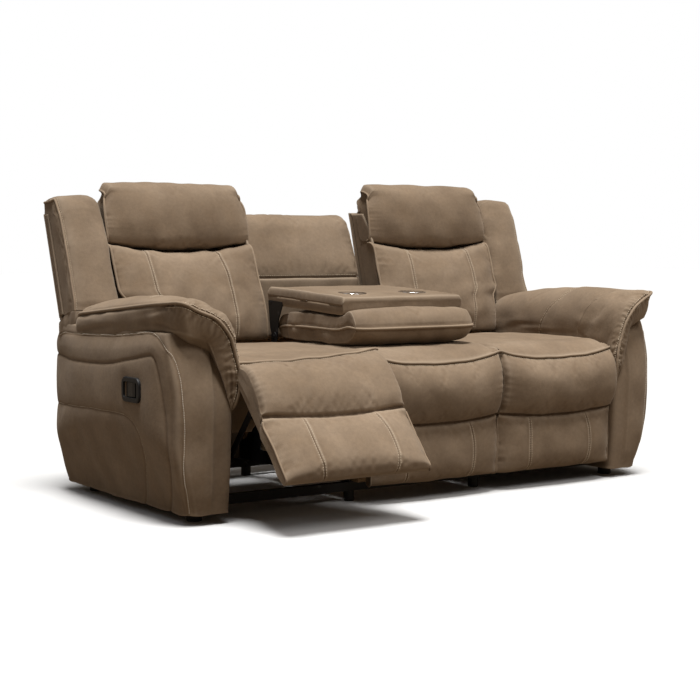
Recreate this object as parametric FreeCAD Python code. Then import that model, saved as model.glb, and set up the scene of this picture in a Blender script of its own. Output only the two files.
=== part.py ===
import FreeCAD, Part
import math
import os

V = FreeCAD.Vector
os.makedirs("parts", exist_ok=True)

# ---------------------------------------------------------------------------
# Three-seat reclining sofa.  Millimetres, +Z up, +X to the right as seen from
# the front, the seats open towards -Y.  The working frame has the floor at
# z = 0; Y_SHIFT then puts the middle of the overall box on the origin.
# ---------------------------------------------------------------------------
Y_SHIFT = 128.3

# widths, measured from the middle of the sofa
SEAT_DIV = 268.0          # line between the centre seat and an outer seat
GAP = 4.0                 # free gap between neighbouring soft pieces
ARM_IN = 806.0            # inner face of an arm
ARM_BOTTOM_X = 945.0      # outer face of an arm at the floor
ARM_BELLY_X = 1030.0      # outer face of an arm at its fullest
WING_IN = 832.0
WING_OUT = 1004.0

# heights
ARM_BOTTOM = 33.0
ARM_CREASE = 574.0        # where the arm pad sits on the arm
ARM_TOP = 700.0
SEAT_TOP = 508.0
BOX_TOP = 400.0
BOX_BOTTOM = 358.0
BACK_CREASE = 872.0
HEAD_TOP = 1100.0
FOOT_H = 30.0

# mechanism
BACK_PIVOT = (220.0, 400.0)          # y, z of the recline pivot
BACK_CUT_R = 262.0                   # the wings are cut to this radius round it
ARM_CLEAR_R = 254.0                  # the rear of the arms stays inside this one
FOOT_AXIS = (-457.0, 527.0)          # y, z of the line the leg rest turns about
FOOT_PIN = (-400.0, 330.0)           # y, z of the leg-rest bracket pin, closed
CRANK_PIVOT = (-300.0, 340.0)        # y, z of the drive crank pivot
LEFT_BACK_REST = 5.0                 # degrees the left back is reclined
LEFT_FOOT_REST = 43.5                # degrees the left leg rest is raised
PLATE_T = 4.0
PLATE_IN = 279.0                     # inner mechanism plate, inner face
PLATE_OUT = 787.0                    # outer mechanism plate, inner face
RUN = 0.05                           # radial clearance of running pins

# console
CONSOLE_PIVOT = (150.0, 530.0)
CONSOLE_TILT = 2.9                   # degrees, the folded table rises rearwards
TRAY_T = 48.0
CUP_X = 130.0
CUP_Y = -160.0
CUP_R = 42.0
CUP_DEPTH = 58.0

# release handle, centre on the outer face of the right arm
HANDLE_Y = -247.0
HANDLE_Z = 407.0
HANDLE_FACE = 1032.0


# ------------------------------------------------------------------ helpers
def rounded(points, radii):
    """2-D outline of straight runs joined by tangent arcs."""
    n = len(points)
    if not isinstance(radii, (list, tuple)):
        radii = [radii] * n
    out = []
    for i in range(n):
        p0, p1, p2 = points[i - 1], points[i], points[(i + 1) % n]
        r = radii[i]
        a = (p0[0] - p1[0], p0[1] - p1[1])
        b = (p2[0] - p1[0], p2[1] - p1[1])
        la, lb = math.hypot(*a), math.hypot(*b)
        a = (a[0] / la, a[1] / la)
        b = (b[0] / lb, b[1] / lb)
        dot = max(-1.0, min(1.0, a[0] * b[0] + a[1] * b[1]))
        ang = math.acos(dot)
        if r <= 0 or ang > math.radians(179.0):
            out.append((p1, None, p1))
            continue
        t = r / math.tan(ang / 2)
        tmax = 0.48 * min(la, lb)
        if t > tmax:
            t = tmax
            r = t * math.tan(ang / 2)
        s = (p1[0] + a[0] * t, p1[1] + a[1] * t)
        e = (p1[0] + b[0] * t, p1[1] + b[1] * t)
        bis = (a[0] + b[0], a[1] + b[1])
        lbis = math.hypot(*bis)
        dc = r / math.sin(ang / 2)
        c = (p1[0] + bis[0] / lbis * dc, p1[1] + bis[1] / lbis * dc)
        m = (c[0] - bis[0] / lbis * r, c[1] - bis[1] / lbis * r)
        out.append((s, m, e))
    return out


def outline_face(points, radii, place):
    segs = rounded(points, radii)
    edges = []
    n = len(segs)
    for i in range(n):
        s, m, e = segs[i]
        if m is not None:
            edges.append(Part.Arc(place(s), place(m), place(e)).toShape())
        nxt = segs[(i + 1) % n][0]
        if math.hypot(nxt[0] - e[0], nxt[1] - e[1]) > 1e-6:
            edges.append(Part.LineSegment(place(e), place(nxt)).toShape())
    return Part.Face(Part.Wire(edges))


def prism_yz(points, x0, x1, radii=0.0):
    f = outline_face(points, radii, lambda p: V(x0, p[0], p[1]))
    return f.extrude(V(x1 - x0, 0, 0))


def prism_xz(points, y0, y1, radii=0.0):
    f = outline_face(points, radii, lambda p: V(p[0], y0, p[1]))
    return f.extrude(V(0, y1 - y0, 0))


def prism_xy(points, z0, z1, radii=0.0):
    f = outline_face(points, radii, lambda p: V(p[0], p[1], z0))
    return f.extrude(V(0, 0, z1 - z0))


def box(x0, x1, y0, y1, z0, z1):
    return Part.makeBox(x1 - x0, y1 - y0, z1 - z0, V(x0, y0, z0))


def cyl_x(y, z, r, x0, x1):
    return Part.makeCylinder(r, x1 - x0, V(x0, y, z), V(1, 0, 0))


def cyl_z(x, y, r, z0, z1):
    return Part.makeCylinder(r, z1 - z0, V(x, y, z0), V(0, 0, 1))


def fuse(shapes):
    s = shapes[0]
    for t in shapes[1:]:
        s = s.fuse(t)
    return s.removeSplitter()


def common(shapes):
    s = shapes[0]
    for t in shapes[1:]:
        s = s.common(t)
    return s


def mirror(s):
    return s.mirror(V(0, 0, 0), V(1, 0, 0))


def turn(s, yz, angle):
    """Turn about the X axis through (y, z); positive leans back or opens."""
    t = s.copy()
    t.rotate(V(0, yz[0], yz[1]), V(-1, 0, 0), angle)
    return t


def round_edges(s, r, pick):
    edges = [e for e in s.Edges if pick(e)]
    if not edges:
        return s
    for k in (1.0, 0.7, 0.45):
        try:
            t = s.makeFillet(r * k, edges)
            if t.isValid() and t.Volume > 0:
                return t
        except Exception:
            pass
    return s


def along_x_ends(x0, x1):
    def pick(e):
        b = e.BoundBox
        return abs(b.XMin - b.XMax) < 1e-3 and (
            abs(b.XMin - x0) < 1e-3 or abs(b.XMin - x1) < 1e-3
        )

    return pick


def cushion_yz(points, x0, x1, radii, edge):
    """Prism with its two side rims rounded over, the plain form of a cushion."""
    s = prism_yz(points, x0, x1, radii)
    return round_edges(s, edge, along_x_ends(x0, x1))


def tube_path(points, r, bend=0.45):
    """Round bar along straight runs joined by tangent arcs."""
    pts = [V(*p) for p in points]
    edges = []
    start = pts[0]
    radii = []
    for i in range(1, len(pts) - 1):
        a = pts[i - 1] - pts[i]
        b = pts[i + 1] - pts[i]
        la, lb = a.Length, b.Length
        a.normalize()
        b.normalize()
        ang = a.getAngle(b)
        rad = bend * min(la, lb) * math.tan(ang / 2)
        t = rad / math.tan(ang / 2)
        s = pts[i] + a * t
        e = pts[i] + b * t
        bis = a + b
        bis.normalize()
        c = pts[i] + bis * (rad / math.sin(ang / 2))
        m = c - bis * rad
        if (s - start).Length > 1e-6:
            edges.append(Part.LineSegment(start, s).toShape())
        edges.append(Part.Arc(s, m, e).toShape())
        start = e
        radii.append(rad)
    edges.append(Part.LineSegment(start, pts[-1]).toShape())
    wire = Part.Wire(edges)
    d = pts[1] - pts[0]
    d.normalize()
    circle = Part.Wire([Part.Circle(pts[0], d, r).toShape()])
    solid = wire.makePipeShell([circle], True, True)
    return solid, wire.Length, radii


parts = {}


def add(name, shape):
    parts[name] = shape


def add_pair(name, shape):
    parts["right_" + name] = shape
    parts["left_" + name] = mirror(shape)


# --------------------------------------------------------------------- arms
# side outline of an arm under its pad (y, z)
ARM_SIDE = [
    (425, ARM_BOTTOM), (430, 470), (408, 530), (360, ARM_CREASE), (-395, ARM_CREASE),
    (-462, 500), (-490, 340), (-468, ARM_BOTTOM),
]
ARM_SIDE_R = [20, 90, 60, 40, 110, 160, 400, 20]
# front outline of an arm (x, z): the outer face bellies out above the floor
ARM_FRONT = [
    (ARM_IN, ARM_BOTTOM), (ARM_BOTTOM_X, ARM_BOTTOM), (990, 180), (ARM_BELLY_X, 330),
    (ARM_BELLY_X, 470), (1012, 560), (975, 640), (ARM_IN, 640),
]
ARM_FRONT_R = [0, 16, 300, 200, 120, 60, 0, 0]
# plan of an arm (x, y): fullest in the middle, drawn in towards both ends
ARM_PLAN = [
    (ARM_IN, 440), (985, 440), (1022, 200), (ARM_BELLY_X + 3, -100), (1020, -380),
    (980, -492), (ARM_IN, -496),
]
ARM_PLAN_R = [0, 40, 500, 900, 200, 40, 14]

arm_body = common([
    prism_yz(ARM_SIDE, ARM_IN, ARM_BELLY_X + 20, ARM_SIDE_R),
    prism_xz(ARM_FRONT, -520, 460, ARM_FRONT_R),
    prism_xy(ARM_PLAN, 0, 640, ARM_PLAN_R),
])
# hollow for the timber frame, open below
hollow = prism_yz(
    [(388, 0), (392, 470), (335, 536), (-372, 536), (-430, 440), (-430, 0)],
    ARM_IN + 20, 930, [0, 60, 40, 60, 60, 0])
handle_hole = prism_yz(
    [(HANDLE_Y - 50, HANDLE_Z - 29), (HANDLE_Y + 50, HANDLE_Z - 29),
     (HANDLE_Y + 50, HANDLE_Z + 29), (HANDLE_Y - 50, HANDLE_Z + 29)],
    900, 1060, 11)
handle_rebate = prism_yz(
    [(HANDLE_Y - 61, HANDLE_Z - 40), (HANDLE_Y + 61, HANDLE_Z - 40),
     (HANDLE_Y + 61, HANDLE_Z + 40), (HANDLE_Y - 61, HANDLE_Z + 40)],
    HANDLE_FACE - 16, 1060, 24)
CABLE_Y = HANDLE_Y + 30
cable_hole = cyl_x(CABLE_Y, 300, 6, ARM_IN - 5, ARM_IN + 60)

# the pad: a top cushion, an inner skirt down beside the seat, and a lobe that
# hangs over the front and narrows towards its inner lower tip
pad_top = prism_yz(
    [(318, ARM_CREASE), (322, 600), (292, 636), (204, 647), (120, 664), (-70, 688),
     (-300, ARM_TOP), (-420, 690), (-492, 655), (-512, ARM_CREASE)],
    ARM_IN, 1010, [10, 40, 60, 200, 300, 600, 500, 120, 70, 0])
pad_top_shape = prism_xz(
    [(ARM_IN, 560), (1010, 560), (1010, 640), (985, ARM_TOP + 6), (850, ARM_TOP + 6), (ARM_IN, 668)],
    -560, 360, [0, 10, 40, 50, 60, 40])
pad_top = common([pad_top, pad_top_shape])
pad_skirt = box(ARM_IN, ARM_IN + 20, -486, 180, 420, 600)
pad_lobe = common([
    prism_yz([(-405, 620), (-512, 620), (-512, 560), (-502, 350), (-455, 350), (-455, 560)],
             ARM_IN, 1010, [0, 30, 60, 8, 8, 0]),
    prism_xz([(ARM_IN, 352), (ARM_IN + 24, 352), (880, 480), (960, 580), (1008, 620), (ARM_IN, 620)],
             -560, -300, [0, 10, 120, 80, 0, 0]),
])
arm_pad = fuse([pad_top, pad_skirt, pad_lobe])
arm_pad = arm_pad.cut(prism_yz([(-420, 300), (-420, ARM_CREASE), (-455, ARM_CREASE), (-455, 300)],
                               ARM_IN + 20, 1040))

arm_cover = arm_body.cut(hollow).cut(handle_hole).cut(handle_rebate).cut(cable_hole).cut(arm_pad)
arm_cover = max(arm_cover.Solids, key=lambda s: s.Volume)
arm_frame = hollow.common(box(0, 1200, -600, 600, FOOT_H, 700))
arm_frame = arm_frame.cut(prism_yz(
    [(370, 0), (374, 460), (325, 518), (-362, 518), (-412, 432), (-412, 0)],
    ARM_IN + 36, 914, [0, 50, 30, 50, 50, 0]))
# bottom board, which the feet are fixed to
arm_frame = arm_frame.fuse(box(ARM_IN + 30, 920, -420, 380, FOOT_H, FOOT_H + 18))
arm_frame = arm_frame.cut(handle_hole).cut(cable_hole).removeSplitter()

add_pair("arm_cover", arm_cover)
add_pair("arm_pad", arm_pad)
add_pair("arm_frame", arm_frame)

# handle bezel: a rounded plate with a cup behind it, open to the outside
bez = prism_yz(
    [(HANDLE_Y - 60.5, HANDLE_Z - 39.5), (HANDLE_Y + 60.5, HANDLE_Z - 39.5),
     (HANDLE_Y + 60.5, HANDLE_Z + 39.5), (HANDLE_Y - 60.5, HANDLE_Z + 39.5)],
    HANDLE_FACE - 15.5, HANDLE_FACE, 23.5)
bez = round_edges(bez, 4.0, along_x_ends(HANDLE_FACE, HANDLE_FACE))
cup_out = prism_yz(
    [(HANDLE_Y - 49.5, HANDLE_Z - 28.5), (HANDLE_Y + 49.5, HANDLE_Z - 28.5),
     (HANDLE_Y + 49.5, HANDLE_Z + 28.5), (HANDLE_Y - 49.5, HANDLE_Z + 28.5)],
    HANDLE_FACE - 47, HANDLE_FACE - 10, 11.5)
cup_in = prism_yz(
    [(HANDLE_Y - 46, HANDLE_Z - 25), (HANDLE_Y + 46, HANDLE_Z - 25),
     (HANDLE_Y + 46, HANDLE_Z + 25), (HANDLE_Y - 46, HANDLE_Z + 25)],
    HANDLE_FACE - 44, HANDLE_FACE + 5, 8)
LEVER_PIN = (HANDLE_FACE - 14, HANDLE_Y + 37)        # x, y of the lever's hinge line
bezel = bez.fuse(cup_out).cut(cup_in)
bezel = bezel.cut(cyl_z(LEVER_PIN[0], LEVER_PIN[1], 2.5 + RUN, HANDLE_Z - 27.6, HANDLE_Z + 27.6))
bezel = bezel.removeSplitter()
add_pair("handle_bezel", bezel)

lever = prism_xy(
    [(LEVER_PIN[0] - 5, LEVER_PIN[1] + 4), (LEVER_PIN[0] + 5, LEVER_PIN[1] + 4),
     (LEVER_PIN[0] + 7, LEVER_PIN[1] - 10), (LEVER_PIN[0] + 6, LEVER_PIN[1] - 40),
     (LEVER_PIN[0] + 3, LEVER_PIN[1] - 54), (LEVER_PIN[0] - 6, LEVER_PIN[1] - 50),
     (LEVER_PIN[0] - 1, LEVER_PIN[1] - 36), (LEVER_PIN[0] - 1, LEVER_PIN[1] - 10)],
    HANDLE_Z - 22.5, HANDLE_Z + 22.5, [4, 4, 6, 20, 2, 2, 10, 8])
lever = lever.fuse(cyl_z(LEVER_PIN[0], LEVER_PIN[1], 2.5, HANDLE_Z - 27.2, HANDLE_Z + 27.2)).removeSplitter()
add_pair("release_lever", lever)

# release cable inside the arm, from the bezel down and through to the plate
cable, cable_len, cable_radii = tube_path(
    [(HANDLE_FACE - 47, CABLE_Y, 400), (952, CABLE_Y, 400), (905, CABLE_Y + 2, 372),
     (886, CABLE_Y - 2, 336), (864, CABLE_Y, 300), (PLATE_OUT + PLATE_T + 0.2, CABLE_Y, 300)], 3.0)
add_pair("release_cable", cable)
print("release cable: length", round(cable_len, 1), "radii", [round(r, 1) for r in cable_radii],
      "volume ratio", round(cable.Volume / (math.pi * 9 * cable_len), 4))

# --------------------------------------------------------------- base rails
def square_tube(x0, x1, y0, z0, s, w):
    return box(x0, x1, y0, y0 + s, z0, z0 + s).cut(box(x0 - 1, x1 + 1, y0 + w, y0 + s - w, z0 + w, z0 + s - w))


add("front_rail", square_tube(-ARM_IN, ARM_IN, -355, 35, 30, 2.5))
add("rear_rail", square_tube(-ARM_IN, ARM_IN, 325, 35, 30, 2.5))
add("rear_base_panel", box(-ARM_IN + 2, ARM_IN - 2, 386, 400, 52, 372))

feet = []
for fx in (-ARM_IN - 70, ARM_IN + 70):
    for fy in (-375, 335):
        f = cyl_z(fx, fy, 24, 0, FOOT_H)
        feet.append(round_edges(f, 3.0, lambda e: e.BoundBox.ZMax < 0.01))
for fx in (-SEAT_DIV, SEAT_DIV):
    for fy in (-340, 340):
        f = cyl_z(fx, fy, 18, 0, 35)
        feet.append(round_edges(f, 3.0, lambda e: e.BoundBox.ZMax < 0.01))
add("feet", Part.makeCompound(feet))

# --------------------------------------------------------- mechanism plates
def plate(x0):
    s = prism_yz(
        [(-362, 65.2), (362, 65.2), (362, 125), (300, 150), (252, 330), (250, 432), (190, 432),
         (170, 400), (-352, 400), (-352, 330), (-330, 300), (-330, 140), (-362, 125)],
        x0, x0 + PLATE_T, [4, 4, 10, 40, 60, 24, 24, 20, 8, 12, 20, 30, 10])
    # lightening windows
    for a, b in ((-285, -110), (-80, 80), (110, 215)):
        s = s.cut(prism_yz([(a, 110), (b, 110), (b, 285), (a, 285)], x0 - 1, x0 + PLATE_T + 1, 18))
    s = s.cut(cyl_x(BACK_PIVOT[0], BACK_PIVOT[1], 8 + RUN, x0 - 1, x0 + PLATE_T + 1))
    s = s.cut(cyl_x(CRANK_PIVOT[0], CRANK_PIVOT[1], 10 + RUN, x0 - 1, x0 + PLATE_T + 1))
    return s


add_pair("mechanism_plates", Part.makeCompound([plate(PLATE_IN), plate(PLATE_OUT)]))

# ------------------------------------------------------------------- seats
def seat_frame(x0, x1, y0, y1, z0, z1, w):
    s = box(x0, x1, y0, y1, z0, z1).cut(box(x0 + w, x1 - w, y0 + w, y1 - w, z0 - 1, z1 + 1))
    return s


SEAT_X0 = PLATE_IN + PLATE_T
add_pair("seat_frame", seat_frame(SEAT_X0, PLATE_OUT, -394, 150, BOX_BOTTOM, BOX_TOP, 22))


def sinuous(x, y0, y1, z):
    n = 9
    step = (y1 - y0 - 40) / n
    pts = [(x, y0, z), (x, y0 + 20, z)]
    y = y0 + 20
    for k in range(n):
        sx = x + (16 if k % 2 == 0 else -16)
        pts.append((sx, y, z))
        y += step
        pts.append((sx, y, z))
    pts.append((x, y, z))
    pts.append((x, y + 20, z))
    s, _, _ = tube_path(pts, 1.9, 0.42)
    return s


add_pair("seat_springs", Part.makeCompound(
    [sinuous(x, -388, 144, BOX_TOP + 2) for x in (355, 445, 535, 625, 715)]))
add("centre_seat_springs", Part.makeCompound(
    [sinuous(x, -388, 120, BOX_TOP + 2) for x in (-180, -90, 0, 90, 180)]))

SEAT_SIDE = [
    (-400, 405), (122, 405), (128, 440), (124, SEAT_TOP - 4), (60, SEAT_TOP), (-300, SEAT_TOP),
    (-398, SEAT_TOP - 6),
]
SEAT_SIDE_R = [12, 14, 100, 24, 200, 200, 14]
add_pair("seat_cushion", cushion_yz(SEAT_SIDE, SEAT_DIV + GAP, ARM_IN - 3.5, SEAT_SIDE_R, 12))

centre_frame = box(-258, 258, -380, 380, 65.5, BOX_TOP).cut(
    box(-243, 243, -365, 365, 60, BOX_TOP + 5))
add("centre_seat_frame", centre_frame)
add("centre_seat_cushion", cushion_yz(SEAT_SIDE, -SEAT_DIV + 4, SEAT_DIV - 4, SEAT_SIDE_R, 12))

# front panel of a seat: a roll at seat height, a crease, a lower panel
FRONT_PAD = [
    (-404, 489.5), (-404, 500), (-470, 497), (-488, 482), (-522, 455), (-533, 400), (-528, 345),
    (-505, 295), (-488, 273), (-498, 250), (-506, 175), (-500, 95), (-474, 62), (-436, 60),
    (-435, 489.5),
]
FRONT_PAD_R = [2, 8, 12, 20, 40, 80, 60, 40, 8, 40, 160, 50, 22, 6, 1]
BOARD = [(-434.5, 84), (-420.5, 84), (-420.5, 488.5), (-434.5, 488.5)]

add("centre_front_pad", cushion_yz(FRONT_PAD, -SEAT_DIV + 3, SEAT_DIV - 3, FRONT_PAD_R, 12))
add("centre_front_board", fuse([
    prism_yz(BOARD, -245, 245, 3),
    box(-200, -170, -421, -380.3, 300, 380), box(170, 200, -421, -380.3, 300, 380)]))

# --------------------------------------------------------------- leg rests
foot_pad = cushion_yz(FRONT_PAD, SEAT_DIV + 3, ARM_IN - 4, FRONT_PAD_R, 12)
foot_board = prism_yz(BOARD, 292, ARM_IN - 22, 3)

EAR_IN = 299.0      # inner bracket ear, near face
EAR_OUT = 766.0     # outer bracket ear, near face


def rest_bracket(x0, pin_to):
    s = prism_yz(
        [(-420.5, 470), (-420.5, 180), (-412, 180), (-404, 300), (-386, 318), (-386, 342),
         (-404, 356), (-412, 470)],
        x0, x0 + 5, [0, 0, 4, 10, 12, 12, 10, 4])
    a, b = (x0, pin_to) if pin_to > x0 else (pin_to, x0 + 5)
    return s.fuse(cyl_x(FOOT_PIN[0], FOOT_PIN[1], 4, a, b))


brackets = Part.makeCompound([
    rest_bracket(EAR_IN, EAR_IN - 8).removeSplitter(),
    rest_bracket(EAR_OUT, EAR_OUT + 13).removeSplitter()])

d = (FOOT_PIN[0] - FOOT_AXIS[0], FOOT_PIN[1] - FOOT_AXIS[1])
CRANK_END = (CRANK_PIVOT[0] + d[0], CRANK_PIVOT[1] + d[1])


def link(p, q, half, x0, x1):
    """Flat bar between two pivots, rounded at both ends."""
    vy, vz = q[0] - p[0], q[1] - p[1]
    n = math.hypot(vy, vz)
    ny, nz = -vz / n * half, vy / n * half
    bar = prism_yz([(p[0] + ny, p[1] + nz), (q[0] + ny, q[1] + nz),
                    (q[0] - ny, q[1] - nz), (p[0] - ny, p[1] - nz)], x0, x1)
    return fuse([bar, cyl_x(p[0], p[1], half, x0, x1), cyl_x(q[0], q[1], half, x0, x1)])


def drive_cranks():
    tube = cyl_x(CRANK_PIVOT[0], CRANK_PIVOT[1], 10, PLATE_IN - 4, PLATE_OUT + PLATE_T + 4)
    shapes = [tube,
              link(CRANK_PIVOT, CRANK_END, 12.5, 285, 290),
              link(CRANK_PIVOT, CRANK_END, 12.5, 780, 785),
              cyl_x(CRANK_END[0], CRANK_END[1], 5, 285, 298),
              cyl_x(CRANK_END[0], CRANK_END[1], 5, 772, 785)]
    return fuse(shapes)


def couplers():
    out = []
    for x0 in (292, 773):
        s = link(CRANK_END, FOOT_PIN, 11, x0, x0 + 5)
        s = s.cut(cyl_x(CRANK_END[0], CRANK_END[1], 5 + RUN, x0 - 1, x0 + 6))
        # the pivot at the leg rest is left open: a clearance hole round its pin
        s = s.cut(cyl_x(FOOT_PIN[0], FOOT_PIN[1], 6, x0 - 1, x0 + 6))
        out.append(s)
    return out


cranks = drive_cranks()
links = couplers()

for side, angle in (("right_", 0.0), ("left_", LEFT_FOOT_REST)):
    def place(s, a=angle, flip=(side == "left_")):
        s = mirror(s) if flip else s.copy()
        return s

    add(side + "footrest_pad", turn(place(foot_pad), FOOT_AXIS, angle))
    add(side + "footrest_board", turn(place(foot_board), FOOT_AXIS, angle))
    add(side + "footrest_brackets", turn(place(brackets), FOOT_AXIS, angle))
    add(side + "drive_cranks", turn(place(cranks), CRANK_PIVOT, angle))
    # couplers keep their direction while their lower pivot swings with the crank
    a = math.radians(angle)
    ey = d[0] * math.cos(a) + d[1] * math.sin(a) - d[0]
    ez = d[1] * math.cos(a) - d[0] * math.sin(a) - d[1]
    moved = []
    for s in links:
        t = place(s)
        t.translate(V(0, ey, ez))
        moved.append(t)
    add(side + "coupler_links", Part.makeCompound(moved))

# ------------------------------------------------------------------- backs
# rear line of a back, upright: (y, z)
REAR = [(251, 310), (320, 575), (416, 944), (428, 984)]


def offset_rear(dy):
    return [(y + dy, z) for y, z in REAR]


def slab(front_dy, rear_dy, z_trim=None):
    f = offset_rear(front_dy)
    r = offset_rear(rear_dy)
    return f + r[::-1]


above_arms = box(700, 1100, -100, 700, 560, 1200).cut(
    cyl_x(BACK_PIVOT[0], BACK_PIVOT[1], BACK_CUT_R, 600, 1200))
low_zone = box(0, ARM_IN - 8, -100, 700, 478, 1200)
very_low = box(292, 778, -100, 700, 250, 478)

shell_full = prism_yz(slab(-12, 0), SEAT_DIV + 2, WING_OUT - 2, [0, 0, 0, 2, 2, 0, 0, 0])
frame_full = prism_yz(slab(-36, -12.2), SEAT_DIV + 14, WING_OUT - 24)


def clip_back(s):
    a = s.common(above_arms)
    a = a.common(box(ARM_IN - 8, 1200, -100, 700, 0, 1200))
    b = s.common(low_zone)
    c = s.common(very_low)
    return fuse([b, c, a])


back_shell = clip_back(shell_full)
back_frame = clip_back(frame_full)
# the frame is a timber ladder: four windows, which the padding spans
for x0, x1 in ((345, 535), (565, 755)):
    for z0, z1 in ((520, 690), (725, 900)):
        back_frame = back_frame.cut(box(x0, x1, 100, 500, z0, z1))

LUMBAR = [
    (150, 514), (148, 600), (180, 715), (222, 830), (262, 868),
    (359.4, 868), (283.0, 575), (267.0, 514),
]
lumbar = cushion_yz(LUMBAR, SEAT_DIV + 2, 830, [20, 90, 300, 60, 6, 4, 0, 4], 14)
lumbar = lumbar.cut(box(ARM_IN - 9, 900, 0, 500, 400, 700))

HEAD = [
    (262, 876), (238, 900), (248, 965), (272, 1040), (318, 1088), (372, HEAD_TOP), (418, 1088),
    (444, 1048), (446, 990), (391.4, 985.5), (379.4, 944), (361.7, 876),
]
head = cushion_yz(HEAD, SEAT_DIV - 2, 829, [6, 24, 120, 70, 50, 60, 40, 40, 10, 0, 0, 4], 16)

WING = [
    (203, 600), (204, 668), (256, 860), (300, 985), (322, 1026), (352, 1040), (396, 1034),
    (430, 1006), (429, 985.5), (391.4, 985.5), (379.4, 944), (283.3, 575), (279.2, 560),
]
wing = prism_yz(WING, WING_IN, WING_OUT, [0, 60, 300, 60, 30, 30, 30, 20, 2, 0, 0, 0, 0])
wing = wing.common(above_arms)
wing = round_edges(wing, 16, lambda e: abs(e.BoundBox.XMax - e.BoundBox.XMin) < 1e-3
                   and e.BoundBox.YMax < 400)


def back_ear(x0, pin0, pin1):
    s = prism_yz(
        [(196, 376), (244, 376), (244, 344), (250, 344), (268, 470), (252, 470), (196, 424)],
        x0, x0 + 4, [20, 0, 0, 4, 4, 8, 20])
    # front face of the timber lies on this line, the ear stops at it
    s = s.cut(prism_yz(slab(-36.2, 60), x0 - 1, x0 + 5))
    s = s.fuse(cyl_x(BACK_PIVOT[0], BACK_PIVOT[1], 8, pin0, pin1))
    return s.removeSplitter()


def back_flange(x0, x1):
    # foot of the ear that is screwed to the timber
    s = prism_yz(slab(-40.2, -36.2), x0, x1)
    return s.common(box(x0, x1, 100, 400, 345, 470))


ears = Part.makeCompound([
    fuse([back_ear(285, PLATE_IN - 3, 289), back_flange(285, 315)]),
    fuse([back_ear(781, 781, PLATE_OUT + PLATE_T + 3), back_flange(755, 785)])])

for side, angle in (("right_", 0.0), ("left_", LEFT_BACK_REST)):
    for name, s in (("back_shell", back_shell), ("back_frame", back_frame),
                    ("lumbar_cushion", lumbar), ("head_pillow", head), ("wing", wing),
                    ("back_brackets", ears)):
        t = mirror(s) if side == "left_" else s.copy()
        add(side + name, turn(t, BACK_PIVOT, angle))

# --------------------------------------------------------- fixed centre back
PANEL = [(359, 500), (359, 723), (443, 939), (466, 968), (490, 976), (512, 972), (505, 940),
         (418, 700), (400, 500)]
add("centre_back_panel", cushion_yz(PANEL, -252, 252, [10, 60, 40, 14, 20, 10, 20, 60, 4], 10))
post = prism_yz([(380.3, 300), (380.3, 420), (400.6, 500), (418.6, 700), (505.6, 940), (512.6, 965),
                 (532, 965), (525, 935), (437, 696), (419, 498), (402, 420), (402, 373), (385.5, 373),
                 (385.5, 300)], -240, 240)
for x0, x1 in ((-185, -15), (15, 185)):
    post = post.cut(box(x0, x1, 300, 600, 600, 780))
add("centre_back_frame", post)

# ------------------------------------------------------------------ console
def hinge_bracket(x0):
    s = prism_yz([(133, 330), (168, 330), (166, 545), (134, 545)], x0, x0 + 4, [4, 4, 15, 15])
    return s.cut(cyl_x(CONSOLE_PIVOT[0], CONSOLE_PIVOT[1], 6 + RUN, x0 - 1, x0 + 5))


add("console_hinge_brackets", Part.makeCompound([hinge_bracket(258.2), hinge_bracket(-262.2)]))


def tilt(s):
    # the folded table is level in its own frame and then tipped by CONSOLE_TILT
    t = s.copy()
    t.rotate(V(0, -287, 683), V(1, 0, 0), CONSOLE_TILT)
    return t


TOP = 683.0
tray = box(-255, 255, -287, 200, TOP - TRAY_T, TOP)
tray = round_edges(tray, 14, lambda e: abs(e.BoundBox.ZMax - e.BoundBox.ZMin) > 40)
tray = round_edges(tray, 9, lambda e: e.BoundBox.ZMin > TOP - 0.01 or e.BoundBox.ZMax < TOP - TRAY_T + 0.01)
board = box(-240, 240, -270, 185, TOP - TRAY_T - 14.2, TOP - TRAY_T - 0.2)
cups = []
for sx in (-1, 1):
    tray = tray.cut(cyl_z(sx * CUP_X, CUP_Y, CUP_R + 3.0, 500, 800))
    board = board.cut(cyl_z(sx * CUP_X, CUP_Y, CUP_R + 3.0, 500, 800))
    c = cyl_z(sx * CUP_X, CUP_Y, CUP_R + 2.5, TOP - CUP_DEPTH - 2.5, TOP + 1.0)
    rim = Part.makeCylinder(CUP_R + 8.5, 3.0, V(sx * CUP_X, CUP_Y, TOP + 0.4), V(0, 0, 1))
    rim = round_edges(rim, 1.4, lambda e: e.BoundBox.ZMin > TOP + 3.3)
    c = c.fuse(rim).cut(cyl_z(sx * CUP_X, CUP_Y, CUP_R, TOP - CUP_DEPTH, TOP + 10))
    cups.append(c.removeSplitter())
add("console_tray_cover", tilt(tray))
add("console_board", tilt(board))
add("console_cup_holders", tilt(Part.makeCompound(cups)))

ca, sa = math.cos(math.radians(CONSOLE_TILT)), math.sin(math.radians(CONSOLE_TILT))


def tilted(y, z):
    dy, dz = y + 287, z - 683
    return (-287 + dy * ca - dz * sa, 683 + dy * sa + dz * ca)


t0 = tilted(-275, TOP - TRAY_T - 14.6)
t1 = tilted(160, TOP - TRAY_T - 14.6)
PILLOW = [
    (-345, SEAT_TOP + 0.8), (150, SEAT_TOP + 0.8), (164, 560), t1, t0, (-335, 612), (-379, 586),
    (-381, 566),
]
pillow = cushion_yz(PILLOW, -262, 262, [40, 20, 30, 16, 20, 30, 14, 14], 14)
for sx in (-1, 1):
    a, b = sorted((sx * 246, sx * 270))
    pillow = pillow.cut(box(a, b, 88, 240, 480, 700))
# blind pockets that the cup bottoms reach into
pillow = pillow.cut(tilt(Part.makeCompound(
    [cyl_z(sx * CUP_X, CUP_Y, CUP_R + 4, TOP - CUP_DEPTH - 5, TOP) for sx in (-1, 1)])))
add("console_pillow", pillow)


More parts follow.
